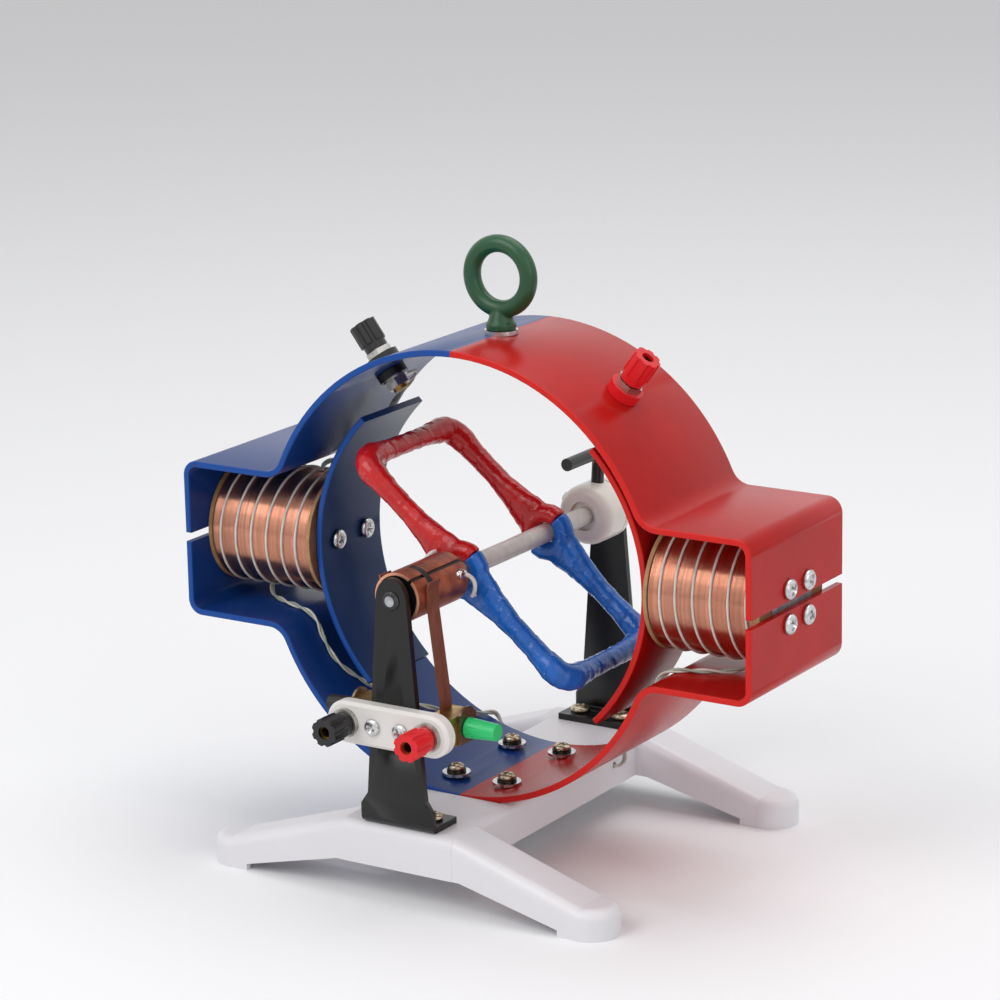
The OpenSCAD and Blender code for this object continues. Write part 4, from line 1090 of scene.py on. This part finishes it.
@dataclass
class TapedLoop:
    """One taped half of the armature's loop.

    Attributes:
        datum: The motor's places.
        angle: The half's angle above the red pole's side.
        reach: Distance from the shaft to the end bar's middle.
        half_y: Distance from the yoke's centre to a side's middle.
        corner: Radius of the corners' middle line.
        eye_r: Radius of the middle line of the ring round the shaft.
        eye_bar: Radius of that ring's bundle.
        lap_mm: Width of tape that each turn leaves bare.
        voxel: Fineness of the surface.
        lap_rise: Height of a lap's edge.
        crease_rise: Height of the creases.
        fine_rise: Height of the small unevenness.
        sunk: How far the tape lies under the bundle's surface where nothing raises it.
    """

    datum: Datum
    angle: float
    reach: float = 57.0
    half_y: float = 30.0
    corner: float = 7.0
    eye_r: float = 7.55
    eye_bar: float = 3.8
    lap_mm: float = 8.5
    voxel: float = 0.5
    lap_rise: float = 0.16
    crease_rise: float = 0.2
    fine_rise: float = 0.14
    sunk: float = 0.08

    def stations(self) -> list[tuple[float, float, float, float]]:
        """Give the bundle's stations: distance out, place along the shaft, half sizes in and out of plane."""
        y = self.half_y
        front = [(7.5, -y, 3.6, 8.2), (12, -y, 3.8, 7.4), (17, -y, 4.0, 6.1), (23, -y, 4.1, 4.9),
                 (30, -y, 4.0, 4.1), (40, -y, 4.1, 4.1), (46, -y, 4.6, 4.5)]
        for i in range(5):
            a = math.radians(-90 + 22.5 * i)
            front.append((self.reach - self.corner + self.corner * math.cos(a),
                          -y + self.corner + self.corner * math.sin(a), 5.1, 5.1))
        rear = [(u, -v, p, q) for u, v, p, q in reversed(front)]
        bar = [(self.reach, -13, 4.0, 4.0), (self.reach, 0, 3.8, 3.8), (self.reach, 13, 4.0, 4.0)]
        return [*front, *bar, *rear]

    def raw(self) -> bpy.types.Mesh:
        """Make the bundle and its two half rings as overlapping closed tubes."""
        lines = [[(Vector((u, y, 0)), p, q) for u, y, p, q in self.stations()]]
        for y in (-self.half_y, self.half_y):
            arc = [math.radians(-90 + 180 * i / 16) for i in range(17)]
            lines.append([(Vector((self.eye_r * math.cos(a), y, self.eye_r * math.sin(a))), self.eye_bar,
                           self.eye_bar) for a in arc])
        return joined("bundle", [self.tube(line) for line in lines])

    def tube(self, line: Sequence[tuple[Vector, float, float]]) -> bpy.types.Mesh:
        """Make a closed tube of changing section in the loop's own frame (out, along, across).

        Args:
            line: Middle, half size in the line's plane, and half size across it.

        Returns:
            The tube.
        """
        rings = []
        for i, (centre, inside, across) in enumerate(line):
            before, after = line[max(i - 1, 0)][0], line[min(i + 1, len(line) - 1)][0]
            way = (after - before).normalized()
            flat = abs(way.z) < 0.01 and abs(centre.z) < 0.01 and line[0][0].z == 0
            up = Vector((0, 0, 1)) if flat else Vector((0, 1, 0))
            side = way.cross(up).normalized()
            rings.append([centre + side * (inside * math.cos(a)) + up * (across * math.sin(a))
                          for a in circle(20)])
        return outward(loft("tube", rings))

    def build(self, name: str, node: str, slot: str, finish: Finish) -> None:
        """Make the half and lay its tape."""
        bundle = self.raw()
        bundle.transform(Matrix.Scale(MM, 4))
        mesh = melted(bundle, self.voxel, 5)
        self.lay_tape(mesh)
        piece(name, mesh, finish, Body.ROTOR, [node])

    def lay_tape(self, mesh: bpy.types.Mesh) -> None:
        """Raise the laps' edges and the creases, note the laps, and put the half in its place."""
        count = len(mesh.vertices)
        co = np.empty(count * 3, np.float32)
        mesh.vertices.foreach_get("co", co)
        co = co.reshape(-1, 3).astype(float) / MM
        normals = np.empty(count * 3, np.float32)
        mesh.vertex_normals.foreach_get("vector", normals)
        normals = normals.reshape(-1, 3)
        route = smooth_path([Vector((u, y, 0)) for u, y, _, _ in self.stations()], 10)
        line = np.array([tuple(p) for p in route])
        run = np.concatenate([[0], np.cumsum(np.linalg.norm(np.diff(line, axis=0), axis=1))])
        near = np.concatenate([np.argmin(((part[:, None, :] - line[None]) ** 2).sum(2), axis=1)
                               for part in np.array_split(co, 20)])
        along = run[near]
        ways = np.gradient(line, axis=0)[near]
        ways /= np.linalg.norm(ways, axis=1, keepdims=True)
        off = co - line[near]
        along = along + (off * ways).sum(1)
        sideways = np.cross(ways, (0, 0, 1))
        turn = np.arctan2(off[:, 2], (off * sideways).sum(1)) / (2 * math.pi)
        laps = (along + 1.6 * np.sin(along / 13) + 0.8 * np.sin(along / 4.7)) / self.lap_mm + turn
        lap = laps - np.floor(laps)
        creases = np.array([noise.noise(Vector((a * 0.28, t * 5 + n * 2.1, n * 7.3)))
                            for a, t, n in zip(along, turn, np.floor(laps))])
        fine = np.array([noise.noise(Vector(p) * 0.45) for p in co])
        rise = (self.lap_rise * (1 - lap) ** 2.2 + self.crease_rise * creases * (0.3 + lap)
                + self.fine_rise * fine - self.sunk)
        co = co + normals * rise[:, None]
        placed = np.array([tuple(self.datum.on_loop(u, y, w, self.angle)) for u, y, w in co], np.float32)
        mesh.vertices.foreach_set("co", placed.ravel())
        note = mesh.attributes.new("lap", "FLOAT", "POINT")
        note.data.foreach_set("value", lap.astype(np.float32))
        mesh.update()


@dataclass
class Armature:
    """The taped loop, its leads to the commutator, the commutator, the shaft and its sleeve.

    Attributes:
        datum: The motor's places.
        angle: Angle of the red half above the red pole's side.
        lead_d: Diameter of the leads to the commutator.
        lead: Radius, place along the shaft and angle past the half, for a lead's points.
        bead: The same for the middle of the solder bead.
        bead_r: Radius of the bead.
        bead_stretch: How much longer the bead is along the shaft.
        bead_lumps: Share of its radius by which it is uneven.
        shell_r: Outer radius of the commutator.
    """

    datum: Datum
    angle: float = 140.0
    lead_d: float = 1.6
    lead: tuple[Point, ...] = (
        (10.4, -44.5, 60), (11, -42, 52), (11.4, -40.2, 42), (11.6, -39, 30), (11.6, -38.2, 18),
        (11.4, -37.6, 8), (11.2, -37, 2), (11.1, -36.2, 0), (11.1, -34.8, 0))
    bead: Point = (9.8, -44.5, 60)
    bead_r: float = 1.8
    bead_stretch: float = 1.35
    bead_lumps: float = 0.22
    shell_r: float = 9.5

    def build(self) -> None:
        """Build the loop's halves and the leads, and dress the rest of the rotor."""
        # The last colour of each tape is the painted highlight of its streaks.
        red = WoundTape("glossy_red_tape", "#c4191c", "#7d0d12", "#ee8f88")
        blue = WoundTape("glossy_blue_tape", "#1a62bd", "#0f3570", "#9cc4f0")
        for colour, tape, turn in (("red", red, 0), ("blue", blue, 180)):
            half = TapedLoop(self.datum, self.angle + turn)
            half.build(f"taped_{colour}_half", f"armature_{colour}_half", f"{colour}_tape", tape)
        self.leads()
        low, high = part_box("upper_segment")
        dress_nodes(ShellCopper("turned_copper", low.y, high.y), "upper_segment", "lower_segment")
        dress_nodes(Moulded("black_bakelite", "#0c0c0d", roughness=0.34, grain_mm=0.5, shine=0.35),
                    "commutator_core", "commutator_band")
        dress_nodes(Metal("ground_steel", "#b9bbbe", "#8d8f93", roughness=0.24, stretch=(1, 0.15, 1)),
                    "shaft")
        dress_nodes(Moulded("milky_sleeve", "#d4d2cc", roughness=0.3, patch_mm=5, patches=0.14, coat=0.3),
                    "shaft_sleeve")

    def leads(self) -> None:
        """Lay both leads and set a solder bead on each."""
        cotton = Moulded("white_insulation", "#e2dfd8", roughness=0.45, patch_mm=3, patches=0.12)
        solder = Metal("solder", "#d2d2d0", "#a5a19c", roughness=0.2, patch_mm=1.5)
        parts = []
        for half in (0, 180):
            line = smooth_path([self.around(p, half) for p in self.lead], 6)
            parts += [laid(line, self.lead_d, cotton, step=0.4, sides=12), self.solder(half, solder)]
        piece("armature_lead_wires", joined("leads", parts), None, Body.ROTOR,
              ["armature_leads"])

    def around(self, point: Point, half: float) -> Vector:
        """Place a point given by its radius, place along the shaft and angle past a half."""
        radius, y, past = point
        a = math.radians(past)
        return self.datum.on_loop(radius * math.cos(a), y, radius * math.sin(a), self.angle + half)

    def solder(self, half: float, finish: Finish) -> bpy.types.Mesh:
        """Make a solder bead that lies on the commutator's shell."""
        shape = bmesh.new()
        bmesh.ops.create_icosphere(shape, subdivisions=4, radius=self.bead_r * MM)
        centre = self.around(self.bead, half)
        for vert in shape.verts:
            lump = 1 + self.bead_lumps * noise.noise(vert.co * 900)
            vert.co = centre + Vector((vert.co.x, vert.co.y * self.bead_stretch, vert.co.z)) * lump
            out = Vector((vert.co.x, 0, vert.co.z - self.datum.shaft_z))
            if out.length < self.shell_r * MM:
                out *= self.shell_r * MM / out.length
                vert.co.x, vert.co.z = out.x, out.z + self.datum.shaft_z
        mesh = mesh_of(shape, "bead")
        mesh.materials.append(finish.material())
        return shade(mesh, 80)


@dataclass
class CrossHead:
    """A pan head screw with a cross recess, its head along Z with z = 0 under it.

    Attributes:
        head_d: Diameter of the head.
        head_h: Height of the head.
        shank_d: Diameter of the shank.
        length: Length of the shank.
    """

    head_d: float
    head_h: float
    shank_d: float
    length: float

    def form(self) -> bpy.types.Object:
        """Turn the screw and cut its recess."""
        r, h, s = self.head_d / 2, self.head_h, self.shank_d / 2
        profile = [(s * 0.8, -self.length), (s, -self.length + 0.4), (s, 0), (r * 0.96, 0), (r, 0.1 * h),
                   (r, 0.34 * h)]
        for degrees in (15, 30, 45, 60, 75, 90):
            a = math.radians(degrees)
            profile.append((r * (0.42 + 0.58 * math.cos(a)), h * (0.34 + 0.66 * math.sin(a))))
        rings = [[(out * MM * math.cos(a), out * MM * math.sin(a), z * MM) for a in circle(28)]
                 for out, z in profile]
        screw = holder(loft("screw", rings))
        cutters = [holder(self.wing(turn)) for turn in (0, 90)]
        for cutter in cutters:
            cut = screw.modifiers.new("recess", "BOOLEAN")
            cut.operation, cut.object, cut.solver = "DIFFERENCE", cutter, "EXACT"
        mesh = finished(screw)
        for cutter in cutters:
            bpy.data.objects.remove(cutter)
        return holder(shade(mesh, 38))

    def wing(self, turn: float) -> bpy.types.Mesh:
        """Make one tapering wing of the recess."""
        r, h = self.head_d / 2, self.head_h
        points = []
        for z, long, wide in ((0.3 * h, 0.2 * r, 0.07 * r), (1.3 * h, 0.78 * r, 0.2 * r)):
            points += [(x * MM, y * MM, z * MM) for x, y in ((-long, -wide), (long, -wide), (long, wide),
                                                             (-long, wide))]
        faces = [(3, 2, 1, 0), (4, 5, 6, 7), (0, 1, 5, 4), (1, 2, 6, 5), (2, 3, 7, 6), (3, 0, 4, 7)]
        mesh = mesh_from("wing", points, faces)
        mesh.transform(Matrix.Rotation(math.radians(turn), 4, "Z"))
        return mesh


@dataclass
class SpringWasher:
    """A split spring washer under a bolt's head.

    Attributes:
        outer: Outer radius.
        inner: Inner radius.
        height: Thickness.
    """

    outer: float = 3.7
    inner: float = 2.2
    height: float = 0.9

    def form(self) -> bpy.types.Object:
        """Make the ring with its split."""
        section = ((self.inner, 0.1), (self.outer, 0.1), (self.outer, self.height), (self.inner, self.height))
        rings = []
        steps = 36
        for i in range(steps + 1):
            a = math.radians(6 + 348 * i / steps)
            lift = 0.25 * (i / steps - 0.5)
            rings.append([(r * math.cos(a) * MM, r * math.sin(a) * MM, (z + lift) * MM) for r, z in section])
        return holder(outward(shade(loft("washer", rings))))


@dataclass
class ScrewGroup:
    """Screws of one kind, set where their solids are.

    Attributes:
        node: The node of the solids.
        aim: Where their heads point.
        head_h: Height of a head.
        shank_d: Diameter of a shank.
        lift: Height of what lies between the solid's seat and the head.
        seed: Seed for the turn of the recesses.
        head_share: Share of the solid's head that the head is wide.
    """

    node: str
    aim: Aim
    head_h: float
    shank_d: float
    lift: float = 0.0
    seed: int = 1
    head_share: float = 1.0

    def build(self, finish: Finish, ring_finish: Finish) -> None:
        """Set the screws, and their spring washers where there is room for them."""
        seats, aims, head_d, length = [], [], 0.0, 0.0
        for low, high in islands(self.node):
            centre, size = (low + high) / 2, high - low
            way = self.aim.direction(centre.x)
            whole = sum(abs(way[i]) * size[i] for i in range(3))
            head_d = max(size[i] for i in range(3) if abs(way[i]) < 0.5) / MM
            length = whole / MM - self.head_h
            seats.append(centre + way * (whole / 2 - self.head_h * MM))
            aims.append(way)
        screw = CrossHead(head_d * self.head_share, self.head_h - self.lift, self.shank_d, length + self.lift)
        heads = [seat + way * self.lift * MM for seat, way in zip(seats, aims)]
        mesh = self.set_on(heads, aims, screw.form(), self.seed, finish)
        piece(f"{self.node}_cross_heads", mesh, None, Body.FRAME, [self.node])
        if self.lift:
            washer = SpringWasher(height=self.lift).form()
            rings = self.set_on(seats, aims, washer, self.seed + 10, ring_finish)
            piece(f"{self.node}_spring_washers", rings, None, Body.FRAME)

    def set_on(self, seats: Sequence[Vector], aims: Sequence[Vector], form: bpy.types.Object, seed: int,
               finish: Finish) -> bpy.types.Mesh:
        """Set one form on every seat and remove the form.

        Args:
            seats: Where the forms sit.
            aims: Where their Z axes point.
            form: The form.
            seed: Seed for their turns.
            finish: Their finish.

        Returns:
            All of them in one mesh.
        """
        mesh = mesh_from("seats", seats, [])
        aim = mesh.attributes.new("aim", "FLOAT_VECTOR", "POINT")
        aim.data.foreach_set("vector", [c for way in aims for c in way])
        grown = fasteners().grow(mesh, Form=form, Seed=seed, Material=finish.material())
        bpy.data.objects.remove(form)
        return grown


@dataclass
class Fastenings:
    """All screws and washers.

    Attributes:
        eye_ring_r: Outer radius of the washer that shows under the lifting eye.
        wall_share: Share of the solid washer's radius past which its points are on the outer wall.
    """

    eye_ring_r: float = 6.3
    wall_share: float = 0.9

    def build(self) -> None:
        """Set every group of screws and dress the washers."""
        bright = BRIGHT_NICKEL
        yellow = Metal("yellow_zinc", "#c9bda4", "#6a563e", roughness=0.3, patch_mm=1.6)
        dark = Metal("dark_spring_steel", "#4c453b", "#2c2823", roughness=0.35, patch_mm=1.5)
        for group, finish in (
                (ScrewGroup("wall_screws", Aim.OUTWARDS, 2.4, 4.0, seed=3), bright),
                (ScrewGroup("pole_screws", Aim.INWARDS, 2.4, 4.0, lift=0.5, seed=5), bright),
                (ScrewGroup("base_bolts", Aim.UP, 3.0, 4.0, lift=0.9, seed=8, head_share=0.82), yellow),
                (ScrewGroup("bracket_screws", Aim.UP, 2.4, 4.0, lift=0.5, seed=13), yellow),
                (ScrewGroup("plate_screws", Aim.FRONT, 1.6, 3.0, seed=21), bright)):
            group.build(finish, dark)
        dress_nodes(bright, "base_washers")
        piece("eye_washer_ring", self.slimmer("eye_washer"), bright, Body.FRAME, ["eye_washer"])

    def slimmer(self, node: str) -> bpy.types.Mesh:
        """Copy an upright washer with its outer wall drawn in."""
        shape = merged_copy(node)
        low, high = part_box(node)
        centre, outer = (low + high) / 2, (high.x - low.x) / 2
        for vert in shape.verts:
            out = Vector((vert.co.x - centre.x, vert.co.y - centre.y))
            if out.length > outer * self.wall_share:
                out *= self.eye_ring_r * MM / out.length
                vert.co.x, vert.co.y = centre.x + out.x, centre.y + out.y
        return shade(mesh_of(shape, node), 35)


@dataclass
class LiftingEye:
    """The forged eye bolt on top of the yoke.

    Attributes:
        voxel: Fineness of the forging's surface.
    """

    voxel: float = 0.4

    def build(self) -> None:
        """Melt the solid's parts into one forging and paint it green."""
        forging = melted(mesh_of(merged_copy("eye_bolt"), "eye"), self.voxel, 6)
        paint = StovePaint.plain("green_machine_paint", "#215031", "#8a8478")
        piece("forged_lifting_eye", forging, paint, Body.FRAME, ["eye_bolt"])


@dataclass
class Terminals:
    """The binding posts, the terminal plate and the brush gear."""

    def build(self) -> None:
        """Dress the terminals and the brushes."""
        red = Moulded("red_moulding", "#dc1c24", roughness=0.32, grain_mm=0.6, shine=0.35)
        green = Moulded("green_moulding", "#2fc574", roughness=0.32, grain_mm=0.6, shine=0.35)
        white = Moulded("white_moulding", "#e3e0dc", roughness=0.36, grain_mm=0.8)
        brass = Metal("worn_brass", "#b8934e", "#86683a", roughness=0.34)
        strip = Metal("rolled_copper", "#a8705a", "#855242", roughness=0.5, patch_mm=6, stretch=(1, 1, 0.3))
        dress_nodes(BLACK_MOULDING, "black_field_knob", "black_armature_knob", "black_field_bush",
                    "black_thumb_screw")
        dress_nodes(red, "red_field_knob", "red_armature_knob", "red_field_bush")
        dress_nodes(green, "green_thumb_screw")
        dress_nodes(white, "terminal_plate")
        dress_nodes(brass, "field_studs", "armature_studs", "left_brush_block", "right_brush_block")
        dress_nodes(BRIGHT_ZINC, "field_nuts", "field_lugs", "stud_washers")
        dress_nodes(Metal("brown_steel", "#8d7a66", "#5e5044", roughness=0.38), "clamp_plates")
        dress_nodes(strip, "left_brush", "right_brush")


@dataclass
class Bearings:
    """The black brackets, the bearings and the hub with its crank.

    Attributes:
        shaft_z: The shaft's height, in metres.
        hole_r: Radius that keeps its shape round the bearing.
        narrow: Share of its width that a bracket keeps at the shaft's height.
        shoulder: Distance below the shaft where the narrowing starts.
    """

    shaft_z: float
    hole_r: float = 4.2
    narrow: float = 0.8
    shoulder: float = 75.0

    def build(self) -> None:
        """Shape and paint the brackets, and dress the bearings and the hub."""
        satin = StovePaint.plain("satin_black_paint", "#0d0d0e", "#5a5856")
        for node in ("front_bracket", "rear_bracket"):
            piece(f"{node}_plate", self.narrowed(node), satin, Body.FRAME, [node])
        oiled = Metal("oiled_bearing", "#4a4a4c", "#2b2b2d", roughness=0.3)
        dress_nodes(oiled, "front_bearing", "rear_bearing")
        dress_nodes(Moulded("cream_moulding", "#ece9df", roughness=0.3, patch_mm=8, patches=0.04), "hub")
        dress_nodes(BRIGHT_NICKEL, "hub_screw")
        dress_nodes(BLACK_MOULDING, "crank_handle")

    def narrowed(self, node: str) -> bpy.types.Mesh:
        """Copy a bracket and draw its sides in towards the shaft, outside the bearing's hole."""
        shape = merged_copy(node)
        for vert in shape.verts:
            below = (self.shaft_z - vert.co.z) / (self.shoulder * MM)
            keep = self.narrow + (1 - self.narrow) * min(max(below, 0.0), 1.0)
            if math.hypot(vert.co.x, vert.co.z - self.shaft_z) > self.hole_r * MM:
                vert.co.x *= keep
        return shade(mesh_of(shape, node), 35)


# ---- Studio ----


@dataclass
class Viewpoint:
    """The photograph's viewpoint, from the yoke's centre, in degrees and millimetres."""

    datum: Datum
    azimuth: float = 32.73
    elevation: float = 14.754
    roll: float = -1.12
    focal_px: float = 3667.36
    frame_px: float = 1000.0
    distance: float = 1379.39
    across: float = -2.121
    rise: float = 21.405

    def build(self) -> None:
        """Set the camera."""
        a, e, r = (math.radians(v) for v in (self.azimuth, self.elevation, self.roll))
        back = Vector((math.sin(a) * math.cos(e), -math.cos(a) * math.cos(e), math.sin(e)))
        right = Vector((math.cos(a), math.sin(a), 0))
        up = back.cross(right)
        level = right * math.cos(r) + up * math.sin(r)
        top = up * math.cos(r) - right * math.sin(r)
        data = bpy.data.cameras.new("viewpoint")
        data.sensor_fit, data.sensor_width = "HORIZONTAL", 36.0
        data.lens = self.focal_px / self.frame_px * data.sensor_width
        data.clip_start, data.clip_end = 0.05, 200.0
        camera = placed("viewpoint", data)
        place = self.datum.yoke + (back * self.distance + level * self.across + top * self.rise) * MM
        turn = Matrix((level, top, back)).transposed().to_4x4()
        camera.matrix_world = Matrix.Translation(place) @ turn
        bpy.context.scene.camera = camera


@dataclass
class Studio:
    """A pale floor, a white surround and soft lamps."""

    surround: float = 0.52
    floor: str = "#f6f6f8"
    floor_half: float = 60.0

    def build(self) -> None:
        """Set the floor, the surround and the lamps."""
        bpy.context.scene.view_settings.view_transform = "Standard"
        h = self.floor_half
        mesh = mesh_from("floor", [(-h, -h, 0), (h, -h, 0), (h, h, 0), (-h, h, 0)], [(0, 1, 2, 3)])
        finish = Moulded("pale_floor", self.floor, roughness=0.8, depth=0.0, patches=0.0)
        mesh.materials.append(finish.material())
        floor = placed("floor", mesh)
        self.world()
        self.lamp("key", (-0.45, -1.25, 1.25), 1.1, 11.0)
        self.lamp("fill", (1.4, -0.5, 0.8), 1.3, 3.5)
        self.lamp("top", (0.1, 0.4, 1.5), 1.2, 8.0)

    def world(self) -> None:
        """Light from all sides, and show white where the camera or a reflection sees past the object."""
        world = bpy.data.worlds.new("surround")
        world.use_nodes = True
        tree = Tree(world.node_tree)
        path = tree.add("ShaderNodeLightPath").outputs
        seen = tree.maths("MAXIMUM", path["Is Camera Ray"], path["Is Glossy Ray"])
        either = tree.maths("MAXIMUM", seen, path["Is Transmission Ray"])
        level = tree.ramp(either, 0.0, 1.0, self.surround, 1.0)
        light = tree.put("ShaderNodeBackground", {"Color": linear("#ffffff"), "Strength": level})
        tree.add("ShaderNodeOutputWorld", {"Surface": light})
        bpy.context.scene.world = world

    def lamp(self, name: str, place: Point, size: float, watts: float) -> None:
        """Hang a soft square lamp that faces the motor.

        Args:
            name: The lamp's name.
            place: Where it hangs, in metres.
            size: Length of its sides, in metres.
            watts: Its power.
        """
        data = bpy.data.lights.new(name, "AREA")
        data.shape, data.size, data.energy = "SQUARE", size, watts
        obj = placed(name, data)
        obj.location = place
        obj.rotation_euler = (Vector((0, 0, 0.11)) - Vector(place)).to_track_quat("-Z", "Y").to_euler()


def main() -> None:
    """Build the motor's pieces and the studio."""
    logging.basicConfig(level=logging.INFO, format="%(name)s: %(message)s")
    datum = Datum.measured()
    Viewpoint(datum).build()
    Studio().build()
    Stand().build()
    Yoke(datum).build()
    for side in (-1, 1):
        FieldCoil(datum, side).build()
    FieldLeads(datum).build()
    Armature(datum).build()
    Terminals().build()
    Bearings(datum.shaft_z).build()
    LiftingEye().build()
    Fastenings().build()


if __name__ == "__main__":
    main()
